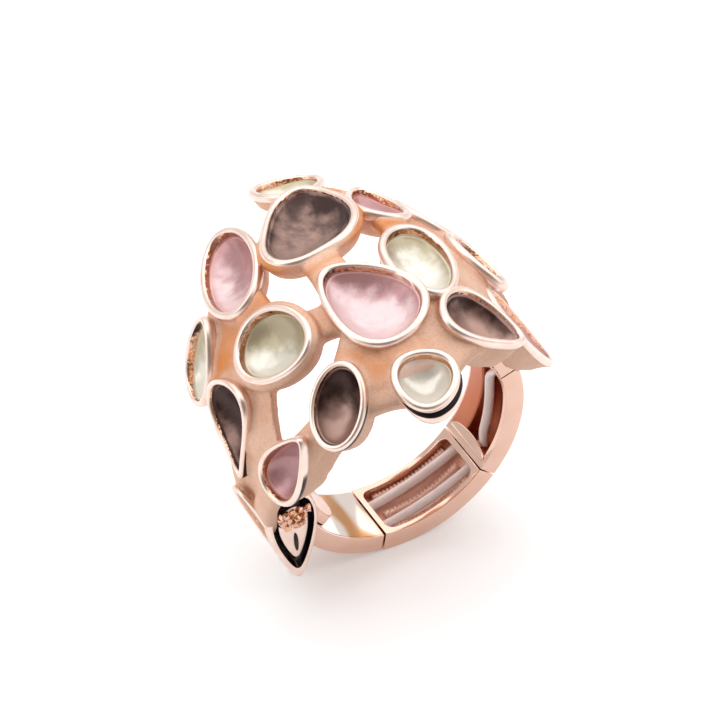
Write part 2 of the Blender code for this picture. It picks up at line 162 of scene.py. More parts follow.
# Groups of three cups with a closed sheet between them
SHEETS = (
    ("left", "rear_left", "lower_left_rear"), ("left", "lower_left_rear", "lower_left"),
    ("left", "lower_left", "lower_left_front"), ("centre", "right", "right_front"),
    ("centre", "right_front", "front"), ("centre", "front", "left_front"),
    ("right", "right_front", "lower_right"), ("right_front", "lower_right", "right_tip"),
    ("right", "lower_right", "right_rear"), ("lower_right", "right_rear", "lower_right_rear"),
    ("crown", "right_rear", "rear"),
    ("lower_left", "lower_left_front", "left_tip"), ("lower_left", "lower_left_rear", "left_side"),
    ("lower_left", "left_side", "left_tip"),
)

SHEET_SHRINK = 0.12
SHEET_CUTS = 5
SHEET_DROPS = {"right_tip": 1.1 * MM, "left_tip": 0.5 * MM, "left_side": 0.8 * MM}
ROOT_DEPTH = 1.1 * MM

# A web's section and how much wider it is at its ends
WEB_STATIONS = 12
WEB_POINTS = 20
WEB_SQUARENESS = 0.65
WEB_FLARE = 0.45
LUG_WEB_WIDTH = 2.2 * MM

# Metal round a cup's opening that counts as the cup and not as web
CUP_MARGIN = 0.4 * MM

# Rounds of smoothing that fillet the casting
FUSE_ROUNDS = 12

# Webs that run to one side of the line between their cups
WEB_SHIFTS = {("crown", "centre"): 1.1 * MM}

# The apron along the head's open front, by the cups that it runs between
APRON_ENDS = (("left_front", 2.0 * MM), ("lower_left_front", 2.3 * MM))
APRON_FORWARD = 0.7 * MM
APRON_HEIGHT = 2.6 * MM

# Webs from the lugs to their cups: the root's y, degrees past the joint and height above the finger
LUG_WEBS = {
    "right": (("right_tip", -2.2 * MM, 12.0, 1.0 * MM), ("lower_right", 0.0, 21.5, 1.0 * MM)),
    "left": (("left_tip", 0.0, 16.0, 1.4 * MM), ("left_side", 0.0, 16.0, 1.4 * MM)),
}

# Cup walls as shares of depth, of the outline and of the rim's width, from the base up
CUP_WALL = ((1.0, 0.68, 0.7), (0.85, 0.8, 0.8), (0.55, 0.9, 0.9), (0.25, 0.97, 0.95))

# The wall's top: its depth and its share of the rim's width
CUP_TOP = (0.12 * MM, 0.9)
CUP_FLOOR = 0.34 * MM

# Pockets as shares of their depth and of the outline, below a mouth that stands above the rim
POCKET_MOUTH = 0.4 * MM
POCKET_WALL = ((0.5, 0.95), (0.85, 0.8), (1.0, 0.6))
POCKET_ROOM = 0.1 * MM

# Cups whose walls stand out below the rim
CUP_SHOULDERS = {"left": 0.5 * MM, "crown": 0.4 * MM}

# The enamel's deepest dish and thinnest floor, and how uneven the openings are
DISH_DEEPEST = 1.75 * MM
ENAMEL_FLOOR = 0.12 * MM
OUTLINE_WOBBLE = 0.022

# Cups along the open front of the head, whose walls run on below the others
SKIRT_DEPTHS = {"right_front": 3.3 * MM, "left_front": 2.9 * MM, "lower_left_front": 3.4 * MM}
SKIRT_WALL = ((1.0, 0.85, 0.5), (0.6, 0.94, 0.8))
SKIRT_FRONT = -2.9 * MM
TIP_SKIRT_DEPTH = 2.7 * MM
TIP_SKIRT_WALL = ((1.0, 0.6), (0.6, 0.86), (0.15, 1.0))
TIP_SKIRT_GROW = 0.75

# Painted light on some cups' enamel, painted shade where the value is below zero, added to the painted light
# of each slope
POOL_PAINTED_LIGHT = {
    "front": 0.75, "right": 0.02, "lower_left_front": -1.0, "lower_left": -0.4, "right_front": 0.28,
    "rear_left": -0.24, "left": -0.18, "crown": 0.08, "left_front": 0.06, "left_tip": -0.4,
}

# How far below the rim the enamel starts, and how unevenly, by colour
POOL_EDGE = {
    "brown": (0.24 * MM, 0.05 * MM), "pink": (0.42 * MM, 0.22 * MM), "cream": (0.44 * MM, 0.26 * MM),
}

# A pool from its edge to its middle, in shares of the opening, and its underside as depth and outline
POOL_SHARES = (1.0, 0.95, 0.88, 0.8, 0.71, 0.62, 0.52, 0.42, 0.32, 0.22, 0.12, 0.04)
POOL_UNDER = ((1.0, 0.55), (0.8, 0.8), (0.55, 0.92))
POOL_FIT = 0.985
POOL_GAP = 0.04 * MM
POOL_RIPPLE = 0.07 * MM
POOL_RIPPLE_SIZE = 1.1 * MM

# The side of the cups where the enamel lies lowest
BARE_SIDE = Vector((0.04, 0.77, 0.64))

# The rim's section: how far out from the opening, and how far below the top
RIM_SECTION = ((-0.1, 0.95), (-0.08, 0.6), (-0.05, 0.32), (0.0, 0.14), (0.07, 0.04), (0.17, 0.0),
               (0.34, 0.0), (0.45, 0.05), (0.53, 0.16), (0.57, 0.32), (0.56, 0.5), (0.5, 0.7), (0.4, 0.85))

# How many points of the section are the bare inside, which one starts the underside, and the cup
# depth that the section needs
RIM_INSIDE = 4
RIM_CREASE = 9
RIM_ROOM = 0.95 / 0.42 * MM

# Cups that others stand in front of, rim and all
BEHIND = ("rear",)

# Cups whose rims get painted dark reflection underneath, and on which side
PAINTED_DARK_RIMS = ("left", "left_front", "lower_left", "lower_left_front", "rear_left")
PAINTED_DARK_RIM_SIDE = Vector((0.1, -0.76, -0.64))

# Cups whose bare insides get painted dark reflection on the side where the enamel lies lowest
PAINTED_DARK_INSIDES = ("left", "lower_left_rear", "right", "rear_left", "centre")

# Points round each outline
CUP_POINTS = 48
POOL_POINTS = 64
RIM_POINTS = 96
CHEEK_POINTS = 72
SLIT_POINTS = 24
STOP_POINTS = 48
CORD_SIDES = 20

# Cups with a narrower rim than the others
RIM_SHARE = {"lower_left_front": 0.7, "lower_left": 0.75, "left_front": 0.8, "lower_left_rear": 0.8}

# The front cup hangs forward as a polished bowl: depth, share of the outline, growth and how far forward
FRONT_BOWL = ((1.95, 0.5, 0.0, 0.0), (0.9, 1.0, 0.2, 0.0), (0.3, 1.0, 0.48, 0.05), (0.42, 1.0, 0.5, 0.2),
              (0.7, 1.0, 0.5, 0.5), (0.95, 0.98, 0.5, 0.68), (1.2, 0.95, 0.5, 0.82), (1.7, 0.84, 0.48, 0.98),
              (2.1, 0.66, 0.42, 1.05), (2.4, 0.42, 0.3, 1.1), (2.5, 0.15, 0.2, 1.1))

# Where the bowl gets painted dark reflection, by depth in millimetres, and how much
BOWL_DARK = (0.35, 0.8)
BOWL_CREASE = 0.9

# The cheek closes the head's left end in front of the band
CHEEK_PLACE = (-10.4 * MM, 0.66 * MM)
CHEEK_LENGTH = 8.7 * MM
CHEEK_WIDTH = 3.7 * MM
CHEEK_TAPER = 0.45
CHEEK_TURN = 67.0
CHEEK_BACK = -2.82 * MM
CHEEK_FRONT = -3.7 * MM
CHEEK_TIP = 0.35 * MM

# The cheek from its back to its middle: y, share of the outline, and the finish of the strip that
# follows, 0 for rim gold and 1 for the groove's painted dark reflection
GROOVE_FLOOR = CHEEK_FRONT + 0.5 * MM
CHEEK_PROFILE = (
    (CHEEK_BACK, 0.9, 0), (CHEEK_BACK, 1.0, 0), (CHEEK_FRONT + 0.2 * MM, 1.0, 0),
    (CHEEK_FRONT + 0.05 * MM, 0.97, 0), (CHEEK_FRONT, 0.92, 0), (CHEEK_FRONT + 0.03 * MM, 0.85, 1),
    (GROOVE_FLOOR, 0.79, 1), (GROOVE_FLOOR + 0.08 * MM, 0.73, 1), (GROOVE_FLOOR, 0.66, 1),
    (CHEEK_FRONT + 0.12 * MM, 0.6, 0), (CHEEK_FRONT + 0.05 * MM, 0.54, 0),
    (CHEEK_FRONT + 0.02 * MM, 0.35, 0), (CHEEK_FRONT, 0.08, 0),
)
GROOVE_SHARE = 0.9

# The slit in the cheek: its half sizes, how far down it lies, and its section as y and outline
SLIT_SIZE = (0.95 * MM, 0.18 * MM)
SLIT_DOWN = 0.5 * MM
SLIT_SECTION = ((0.1 * MM, 1.0), (-0.03 * MM, 1.0), (-0.03 * MM, 0.6))

# Crumbs of rough metal at the cheek's top, in rows that get shorter
CRUMB_ROWS = (5, 4, 3)
CRUMB_TOP = -2.45 * MM
CRUMB_STEP = (0.6 * MM, 0.55 * MM)
CRUMB_RADIUS = 0.4 * MM
CRUMB_SWAY = 0.15 * MM
CRUMB_GRAIN = 0.22 * MM
CRUMB_DEPTH = 0.12 * MM

# Fixes the scatter of the crumbs, which Blender otherwise draws anew in each run
CRUMB_SEED = 7

# Joints round the band in degrees from the bottom towards +X, and the links with their troughs
JOINT_ANGLES = (-96.0, -37.0, 22.0, 81.0)
JOINT_GAP = 0.1 * MM
TROUGH_FRAME = 0.65 * MM
TROUGH_CORNER = 0.7 * MM
TROUGH_FLOOR = 0.4 * MM
TROUGH_ROOT = TROUGH_FLOOR - 0.05 * MM
RIB_WIDTH = 0.55 * MM
RIB_HEIGHT = 0.62 * MM
SIDE_RIB_WIDTH = 0.46 * MM
SIDE_RIB_HEIGHT = 0.85 * MM
KNURL_PITCH = 0.36 * MM
KNURL_DEPTH = 0.16 * MM

# The right link's trough has a raised floor on the far side and a rounded stop at its lower end
STEP_NEAR = 0.72 * MM
STEP_EDGE = 0.12 * MM
STEP_RISE = 0.02 * MM
STEP_ENDS = 1.8 * TROUGH_FRAME
STOP_LENGTH = 0.65 * MM
STOP_ROOT = 0.2 * MM
STOP_EDGE = 0.3 * MM
STOP_RISE = 0.06 * MM

# The lugs that hold the knots, and the tongue over the left joint
LUG_LENGTH = 3.7 * MM
LUG_WALL = 2.0 * MM
LUG_FRAME = 0.86 * MM
LUG_FLOOR = 0.62 * MM
LUG_CORNER = 0.3 * MM
LUG_END_WALL = 0.9 * MM
TONGUE_LENGTH = 4.4 * MM
TONGUE_WIDTH = 4.4 * MM
TONGUE_THICKNESS = 0.85 * MM
TONGUE_CLEARANCE = 0.08 * MM
TONGUE_ROUND = 0.47

# How far sharp edges are rounded
LINK_EDGE = 0.14 * MM
LUG_EDGE = 0.15 * MM
TONGUE_EDGE = 0.07 * MM
STEP_BEVEL = 0.12 * MM
STOP_BEVEL = 0.1 * MM

# Degrees above which an edge is rounded, is shaded sharp, or is shaded sharp on the casting and rims
BEVEL_ANGLE = 40.0
SHARP_ANGLE = 45.0
CASTING_SHARP_ANGLE = 50.0
RIM_SHARP_ANGLE = 60.0

# The cords' circle and bores, how they tuck into each other in degrees, and how they pull across troughs
CORD_RADIUS = 9.43 * MM
CORD_CLEARANCE = 0.1 * MM
CORD_TAIL = 0.84
CORD_GAP = 0.1
CORD_TUCK = 7.0
CORD_GUIDE = 5.0
CORD_PULL = 0.5 * MM
CORD_RISE = 0.38 * MM
CORD_BOW = 1.55 * MM
KNOT_DIAMETER = 1.15 * MM
KNOT_LENGTH = 1.5 * MM
KNOT_CLEARANCE = 0.12 * MM

# A knot in shares of its length and diameter
KNOT_SHAPE = ((0.0, 0.66), (0.08, 0.85), (0.22, 0.98), (0.36, 0.9), (0.5, 0.98), (0.68, 1.0), (0.84, 0.86),
              (0.95, 0.55), (1.0, 0.3))

# Directions as azimuth and elevation: the dark side of the studio, the side that the enamel's painted
# light comes from, and the camera's place
STUDIO_FRONT = (-29.0, 38.0)
PAINTED_LIGHT_SIDE = (151.0, 47.0)
CAMERA_SIDE = (-29.1, 42.6)
CAMERA_DISTANCE = 320 * MM
CAMERA_LENS = 216.5
CAMERA_SENSOR = 36.0

# What the camera looks at, to the right of the finger hole's middle and above it
CAMERA_TARGET = (-1.88 * MM, 4.55 * MM)
FLOOR_HALF = 1.2
FLOOR_TONES = ((0.9, 0.915, 0.93), (0.91, 0.925, 0.94))
STUDIO_WHITE = (1.0, 1.0, 1.0)
STUDIO_DARK = (0.28, 0.24, 0.22)

# Lamps as seen from the ring: name, azimuth, elevation, distance, width, height and power
LAMPS = (
    ("top_softbox", 150.0, 66.0, 0.45, 0.8, 0.8, 2.0),
    ("left_softbox", -110.0, 35.0, 0.4, 0.2, 0.3, 0.25),
    ("right_softbox", 65.0, 32.0, 0.4, 0.25, 0.25, 0.2),
)

# Slack for points that count as level, and for cuts that meet a point
LEVEL_SLACK = 1e-7
CUT_SLACK = 1e-8


# Finishes


class Value:
    """A shader socket that can be used in Python sums."""

    def __init__(self, paint, socket):
        self.paint = paint
        self.socket = socket

    def __add__(self, other):
        return self.paint.math("ADD", self, other)

    def __sub__(self, other):
        return self.paint.math("SUBTRACT", self, other)

    def __rsub__(self, other):
        return self.paint.math("SUBTRACT", other, self)

    def __mul__(self, other):
        return self.paint.math("MULTIPLY", self, other)

    __radd__ = __add__
    __rmul__ = __mul__


class Paint:
    """A material, or the world, and the nodes behind its shader."""

    def __init__(self, owner, shader="Principled BSDF"):
        owner.use_nodes = True
        self.owner = owner
        self.tree = owner.node_tree
        self.shader = self.tree.nodes[shader]

    def link(self, socket, value):
        if isinstance(value, Value):
            self.tree.links.new(value.socket, socket)
        elif socket.type == "RGBA":
            socket.default_value = (*value, 1.0)
        else:
            socket.default_value = value

    def node(self, kind, output=0, settings=None, **inputs):
        """Any node: its settings first, then the values or links of its sockets by name or place."""
        node = self.tree.nodes.new(kind)
        for key, value in (settings or {}).items():
            setattr(node, key, value)
        for key, value in inputs.items():
            place = int(key[1:]) if key[0] == "_" else key.replace("_", " ").title()
            self.link(node.inputs[place], value)
        return Value(self, node.outputs[output])

    def math(self, operation, first, second):
        return self.node("ShaderNodeMath", settings={"operation": operation}, _0=first, _1=second)

    def mix(self, factor, first, second):
        settings = {"data_type": "RGBA", "clamp_factor": True}
        return self.node("ShaderNodeMix", 2, settings, _0=factor, _6=first, _7=second)

    def place(self, stretch=(1.0, 1.0, 1.0)):
        """The piece's own coordinates in metres, stretched per axis."""
        coordinates = self.node("ShaderNodeTexCoord", 3)
        return self.node("ShaderNodeMapping", _0=coordinates, Scale=stretch)

    def noise(self, size, detail=2.0, vector=None):
        """Noise from 0 to 1 whose grain is about size metres across."""
        return self.node("ShaderNodeTexNoise", Vector=vector or self.place(), Scale=1 / size, Detail=detail)

    def attribute(self, name):
        return self.node("ShaderNodeAttribute", 2, {"attribute_name": name})

    def ramp(self, value, low, high):
        """0 below low, 1 above high and a smooth rise between."""
        settings = {"interpolation_type": "SMOOTHSTEP"}
        return self.node("ShaderNodeMapRange", settings=settings, _0=value, _1=low, _2=high)

    def bump(self, height, distance, strength=1.0):
        return self.node("ShaderNodeBump", Strength=strength, Distance=distance, Height=height)

    def finish(self, **sockets):
        for key, value in sockets.items():
            self.link(self.shader.inputs[key.replace("_", " ").title()], value)
        return self.owner


def polished_gold(settings):
    """Links, lugs, tongue and stop: bright plating with faint wipe marks."""
    paint = Paint(bpy.data.materials.new("polished rose gold"))
    cloud = paint.noise(1.6 * MM, 3.0)
    wipe = paint.noise(0.09 * MM, 2.0, paint.place((1.0, 0.12, 1.0)))
    colour = paint.mix(cloud, settings.gold, settings.gold_pale)
    rough = settings.polish + 0.08 * cloud
    return paint.finish(Base_Color=colour, Metallic=1.0, Roughness=rough,
                        Normal=paint.bump(wipe, 0.002 * MM))


def bright_rim(settings):
    """Rims, the front bowl and the cheek: the palest plating, buffed, with painted dark reflection in the
    creases.
    """
    paint = Paint(bpy.data.materials.new("buffed rim"))
    cloud = paint.noise(1.2 * MM, 3.0)
    dents = paint.noise(0.5 * MM, 2.0)
    # Painted dark reflection: where the stored value and the noise are high, the buffed gold is mixed
    # towards near black
    crease = paint.ramp(paint.attribute("crease") + 0.6 * paint.noise(2.4 * MM, 2.0), 0.85, 1.1)
    buffed = paint.mix(cloud, settings.rim, settings.gold_pale)
    colour = paint.mix(crease, buffed, settings.painted_dark)
    rough = settings.rim_rough + 0.08 * cloud
    return paint.finish(Base_Color=colour, Metallic=1.0, Roughness=rough,
                        Normal=paint.bump(dents, 0.014 * MM))


def lumpy_gold(settings):
    """The bare insides of the cups and the crumbs on the cheek: bright and unevenly cast, with painted dark
    reflection on one side of some insides.
    """
    paint = Paint(bpy.data.materials.new("lumpy rose gold"))
    lumps = paint.noise(0.5 * MM, 2.0)
    bare = paint.mix(paint.ramp(lumps, 0.35, 0.65), settings.lumpy_deep, settings.gold)
    # Painted dark reflection: blotches on the stored side of some bare insides are mixed towards near black
    dark = paint.ramp(paint.attribute("crease") + 0.8 * paint.noise(0.9 * MM, 2.0), 1.1, 1.25)
    colour = paint.mix(dark, bare, settings.painted_dark)
    return paint.finish(Base_Color=colour, Metallic=1.0, Roughness=0.12 + 0.1 * lumps,
                        Normal=paint.bump(lumps, 0.16 * MM))


def reflected_amber_gold(settings):
    """The left link's inner face: polished, with patches of painted amber reflection."""
    paint = Paint(bpy.data.materials.new("rose gold with painted amber reflection"))
    # Painted amber reflection: stretched patches mixed towards pale amber
    patch = paint.ramp(paint.noise(2.6 * MM, 1.0, paint.place((1.0, 0.35, 1.0))), 0.47, 0.64)
    colour = paint.mix(patch, settings.rim, settings.amber_pale)
    return paint.finish(Base_Color=colour, Metallic=1.0, Roughness=settings.polish + 0.1 * patch)


def satin_gold(settings):
    """Cup walls and webs: grainy tan, with painted shade on the walls at the open front and a painted amber
    reflection on the webs towards the back.
    """
    paint = Paint(bpy.data.materials.new("satin rose gold"))
    hollow = paint.ramp(paint.attribute("hollow"), 0.1, 0.8)
    grain = paint.noise(0.16 * MM, 2.0)
    dents = paint.noise(0.7 * MM, 3.0)
    patch = paint.ramp(paint.noise(2.2 * MM, 2.0), 0.35, 0.7)
    wall = paint.mix(patch, settings.satin, settings.satin_deep)
    # Painted shade: walls that face the open front are mixed towards shaded satin
    shaded = paint.mix(paint.attribute("front") * 0.7, wall, settings.satin_shade)
    # Painted amber reflection on webs towards the back and the middle
    toned = paint.mix(hollow * (0.65 + 0.35 * patch), shaded, settings.amber)
    colour = paint.mix(paint.ramp(grain, 0.4, 0.75) * 0.3, toned, settings.satin_dark)
    rough = settings.satin_rough + 0.12 * grain
    height = grain * 0.02 + dents * 0.06
    return paint.finish(Base_Color=colour, Metallic=0.5, Roughness=rough,
                        Normal=paint.bump(height, 1.0 * MM, 0.6))


def dark_channel(settings):
    """The grooves round the cheek: polished, with a painted near-black dark reflection."""
    paint = Paint(bpy.data.materials.new("groove with painted dark reflection"))
    cloud = paint.noise(0.6 * MM, 3.0)
    # Painted dark reflection, near black with warmer patches
    colour = paint.mix(paint.ramp(cloud, 0.45, 0.8), settings.painted_dark, settings.painted_dark_warm)
    return paint.finish(Base_Color=colour, Metallic=1.0, Roughness=0.14 + 0.12 * cloud)


def raw_copper(settings):
    """The bottom trough and its ribs, the lugs' insides and the tongue's edge: cast and unpolished."""
    paint = Paint(bpy.data.materials.new("raw cast copper"))
    lumps = paint.noise(0.35 * MM, 4.0)
    pits = paint.ramp(paint.noise(0.12 * MM, 2.0), 0.3, 0.6)
    colour = paint.mix(lumps, settings.copper_dark, settings.copper)
    rough = 0.36 + 0.2 * lumps
    height = lumps * 0.12 + pits * 0.02
    return paint.finish(Base_Color=colour, Metallic=0.25, Roughness=rough,
                        Normal=paint.bump(height, 1.0 * MM, 0.8))


def smooth_copper(settings):
    """The right link's trough: coral and smoothly cast."""
    paint = Paint(bpy.data.materials.new("smooth cast copper"))
    cloud = paint.noise(1.8 * MM, 3.0)
    grain = paint.noise(0.15 * MM, 2.0)
    colour = paint.mix(cloud, settings.coral_deep, settings.coral)
    return paint.finish(Base_Color=colour, Metallic=1.0, Roughness=0.3 + 0.12 * cloud,
                        Normal=paint.bump(grain, 0.004 * MM))


def brown_enamel(settings):
    """Dark pearl with painted light on the slope that faces the light's side, brushed clouds and a fine
    painted sparkle.
    """
    paint = Paint(bpy.data.materials.new("brown enamel"))
    streak = paint.noise(0.5 * MM, 3.0, paint.place((1.0, 0.4, 1.0)))
    cloud = paint.noise(1.5 * MM, 3.0)
    sparkle = paint.noise(0.05 * MM, 1.0)
    # Painted light: the slope that faces the light's side is mixed towards the lit brown
    light = paint.ramp(paint.attribute("slope") + 0.9 * cloud + 0.25 * streak - 0.57, 0.22, 0.76)
    base = paint.mix(light, settings.brown_dark, settings.brown_light)
    # Painted glints: fine flecks mixed towards the lit brown
    colour = paint.mix(paint.ramp(sparkle, 0.5, 0.8) * 0.2, base, settings.brown_light)
    rough = 0.34 + 0.16 * sparkle
    height = streak * 0.03 + sparkle * 0.004
    return paint.finish(Base_Color=colour, Metallic=0.8, Roughness=rough, Coat_Weight=0.2,
                        Coat_Roughness=0.2, Normal=paint.bump(height, 1.0 * MM, 0.5))


def pearl_enamel(settings, name):
    """Pale pearl: painted light on the slope that faces the light's side, painted shade and reflection of
    the gold wall at the edge of the pool, and soft ripples.
    """
    light, dark, edge = (getattr(settings, name + part) for part in ("", "_dark", "_edge"))
    paint = Paint(bpy.data.materials.new(f"{name} enamel"))
    rim = paint.ramp(paint.attribute("pool"), 0.8, 1.0)
    ripple = paint.noise(1.1 * MM, 3.0)
    grain = paint.noise(0.08 * MM, 1.0)
    # Painted light and shade: the slope that faces the light's side is mixed towards the light colour
    slope = paint.ramp(paint.attribute("slope") + 0.5 * ripple + 0.12 * grain - 0.31, 0.16, 0.54)
    base = paint.mix(slope, dark, light)
    # Painted shade and reflection of the gold wall: the edge of the pool is mixed towards the edge colour
    colour = paint.mix(rim * 0.55, base, edge)
    rough = 0.28 + 0.14 * grain
    height = ripple * 0.1 + grain * 0.004
    return paint.finish(Base_Color=colour, Metallic=0.4, Roughness=rough, Coat_Weight=0.3,
                        Coat_Roughness=0.08, Normal=paint.bump(height, 1.0 * MM, 0.7))


def clear_elastic(settings):
    """Milky stretch cord, a little cloudy."""
    paint = Paint(bpy.data.materials.new("clear elastic"))
    cloud = paint.noise(0.7 * MM, 2.0)
    colour = paint.mix(cloud, settings.cord, settings.cord_pale)
    return paint.finish(Base_Color=colour, Roughness=0.32 + 0.1 * cloud, Subsurface_Weight=0.35,
                        Subsurface_Radius=(0.0006, 0.0004, 0.0004), Subsurface_Scale=1.0)


def floor_finish():
    paint = Paint(bpy.data.materials.new("pale floor"))
    tone = paint.noise(60 * MM, 2.0)
    return paint.finish(Base_Color=paint.mix(tone, *FLOOR_TONES), Roughness=0.75,
                        Emission_Color=STUDIO_WHITE, Emission_Strength=0.2)


FINISHES = {}


def finish_of(make, settings, *names):
    """Makes each finish once."""
    key = (make, *names)
    if key not in FINISHES:
        FINISHES[key] = make(settings, *names)
    return FINISHES[key]


def enamel_finish(colour, settings):
    if colour == "brown":
        return finish_of(brown_enamel, settings)
    return finish_of(pearl_enamel, settings, colour)


# Modelling helpers


def round_angles(count, offset=0.0):
    """Even steps round a full turn."""
    return [2 * math.pi * (i + offset) / count for i in range(count)]


def view_direction(azimuth, elevation):
    """From the ring towards a place, where azimuth 0 is in front along -Y and 90 is along +X."""
    a, e = math.radians(azimuth), math.radians(elevation)
    return Vector((math.sin(a) * math.cos(e), -math.cos(a) * math.cos(e), math.sin(e)))


def new_verts(made):
    return [item for item in made if isinstance(item, bmesh.types.BMVert)]


def faces_of(verts):
    return {face for vert in verts for face in vert.link_faces}


def everything(bm):
    return bm.verts[:] + bm.edges[:] + bm.faces[:]


def loop_edges(bm, loop):
    return [bm.edges.get((a, b)) for a, b in zip(loop, loop[1:] + loop[:1])]


def extrude_loop(bm, loop, points):
    """Extrudes a closed loop of vertices, moves the new one to the points and returns it."""
    made = bmesh.ops.extrude_edge_only(bm, edges=loop_edges(bm, loop))["geom"]
    fresh = set(new_verts(made))
    moved = []
    for vert, point in zip(loop, points):
        new = next(e.other_vert(vert) for e in vert.link_edges if e.other_vert(vert) in fresh)
        new.co = point
        moved.append(new)
    return moved


def cap_loop(bm, loop):
    faces = bmesh.ops.edgeloop_fill(bm, edges=loop_edges(bm, loop))["faces"]
    bmesh.ops.poke(bm, faces=faces)


def loft(bm, rings, capped=True):
    """A skin through rings of points, by extruding a circle's edges from ring to ring."""
    loop = bmesh.ops.create_circle(bm, segments=len(rings[0]), radius=MM)["verts"]
    for vert, point in zip(loop, rings[0]):
        vert.co = point
    loops = [loop]
    for ring in rings[1:]:
        loops.append(extrude_loop(bm, loops[-1], ring))
    if capped:
        cap_loop(bm, loops[0])
        cap_loop(bm, loops[-1])
    return loops


def mesh_of(name, bm):
    mesh = bpy.data.meshes.new(name)
    bm.to_mesh(mesh)
    bm.free()
    return mesh


def take_in(bm, mesh):
    """Adds a finished mesh to one that is still being made."""
    bm.from_mesh(mesh)
    bpy.data.meshes.remove(mesh)


def leaned_piece(name, bm, finishes):
    """Leans a mesh over as the ring rests, and shows it as an object."""
    bmesh.ops.recalc_face_normals(bm, faces=bm.faces)
    bmesh.ops.transform(bm, matrix=TO_TABLE, verts=bm.verts)
    return shown_piece(name, mesh_of(name, bm), finishes)


def shown_piece(name, mesh, finishes=()):
    mesh.shade_smooth()
    piece = bpy.data.objects.new(name, mesh)
    bpy.context.scene.collection.objects.link(piece)
    for finish in finishes:
        mesh.materials.append(finish)
    return piece


def settle_piece(piece, body, replaced=(), sharp=None):
    """Makes an object a piece of one body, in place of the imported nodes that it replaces."""
    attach(piece, body)
    if replaced:
        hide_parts(*replaced)
    if sharp:
        piece.data.set_sharp_from_angle(angle=math.radians(sharp))
    return piece


def make_piece(name, bm, body, finishes, replaced=(), sharp=None):
    return settle_piece(leaned_piece(name, bm, finishes), body, replaced, sharp)


# Head geometry


def dome_point(across, along):
    """A point of the dome and its outward normal."""
    angle = math.radians(across)
    radius = DOME_RADIUS - along * along / (2 * CROWN_RADIUS)
    squeeze = LEFT_SQUEEZE if across < 0 else 1.0
    point = Vector((HEAD_SHIFT + squeeze * radius * math.sin(angle), along,
                    HEAD_LIFT + radius * math.cos(angle)))
    normal = Vector((math.sin(angle) / squeeze, along / CROWN_RADIUS, math.cos(angle)))
    return point, normal.normalized()


def cell_axes(cell):
    """The centre of a cell's opening, its normal and the directions of its length and width."""
    point, normal = dome_point(cell.across, cell.along)
    facing = math.atan2(normal.x, normal.z) + math.radians(cell.lean)
    slope = cell.along / CROWN_RADIUS + cell.nod
    out = Vector((math.sin(facing), slope, math.cos(facing))).normalized()
    right = Vector((math.cos(facing), 0.0, -math.sin(facing)))
    back = out.cross(right)
    turn = math.radians(cell.turn)
    lengthwise = right * math.cos(turn) + back * math.sin(turn)
    return point + normal * cell.lift, out, lengthwise, out.cross(lengthwise)


def cell_ring(cell, points, depth, scale=1.0, grow=0.0):
    """The egg-shaped outline of a cell, at a depth below its rim, scaled and then grown."""
    centre, out, lengthwise, sideways = cell_axes(cell)
    half_length = cell.length / 2 * scale + grow
    half_width = cell.width / 2 * scale + grow
    corner, first = CORNERS.get(cell.name, (0.0, 0.0))
    ring = []
    for a in round_angles(points):
        wobble = 1 + OUTLINE_WOBBLE * math.sin(3 * a + cell.across)
        wobble += corner * math.cos(3 * (a - math.radians(first)))
        u = half_length * wobble * math.cos(a)
        v = half_width * wobble * math.sin(a) * (1 - cell.taper * math.cos(a))
        ring.append(centre - out * depth + lengthwise * u + sideways * v)
    return ring


def pocket_depth(cell):
    return cell.depth - CUP_FLOOR


def add_cup(bm, cell, sizes):
    """A cup's solid block, from its base up the wall to just under the rim."""
    rim = sizes.rim_width * RIM_SHARE.get(cell.name, 1.0)
    shoulder = CUP_SHOULDERS.get(cell.name, 0.0)
    depth = SKIRT_DEPTHS.get(cell.name, cell.depth)
    wall = SKIRT_WALL if cell.name in SKIRT_DEPTHS else CUP_WALL
    rings = [cell_ring(cell, CUP_POINTS, d * depth, s, rim * g + shoulder) for d, s, g in wall]
    top, grow = CUP_TOP
    rings.append(cell_ring(cell, CUP_POINTS, top, 1.0, grow * rim))
    loft(bm, rings)


def add_tip_skirt(bm, cell, sizes):
    """The right tip's wall in front of the band, which hides its lug."""
    rings = []
    for share, scale in TIP_SKIRT_WALL:
        ring = cell_ring(cell, CUP_POINTS, share * TIP_SKIRT_DEPTH, scale, TIP_SKIRT_GROW * sizes.rim_width)
        for point in ring:
            point.y = min(point.y, SKIRT_FRONT)
        rings.append(ring)
    loft(bm, rings)


def pocket_holder(cells, grow):
    """The hollows of some cups, as one cutter."""
    bm = bmesh.new()
    for cell in cells:
        pocket = pocket_depth(cell)
        rings = [cell_ring(cell, CUP_POINTS, -POCKET_MOUTH, 1.0, grow)]
        rings += [cell_ring(cell, CUP_POINTS, depth * pocket, scale, grow) for depth, scale in POCKET_WALL]
        loft(bm, rings)
    return holder_of("pockets", bm)


def add_web(bm, start, end, middle, normal, width, thickness):
    """An arched flat bar that widens where it runs into the pieces that it joins."""
    bend = 2 * middle - (start + end) / 2
    rings = []
    for i in range(WEB_STATIONS):
        t = i / (WEB_STATIONS - 1)
        point = start * (1 - t) ** 2 + bend * 2 * t * (1 - t) + end * t * t
        along = ((bend - start) * (1 - t) + (end - bend) * t).normalized()
        side = along.cross(normal).normalized()
        up = side.cross(along)
        half = width / 2 * (1 + WEB_FLARE * (2 * t - 1) ** 2)
        ring = []
        for a in round_angles(WEB_POINTS, 0.5):
            x = math.copysign(abs(math.cos(a)) ** WEB_SQUARENESS, math.cos(a))
            z = math.copysign(abs(math.sin(a)) ** WEB_SQUARENESS, math.sin(a))
            ring.append(point + side * half * x + up * thickness / 2 * z)
        rings.append(ring)
    loft(bm, rings)


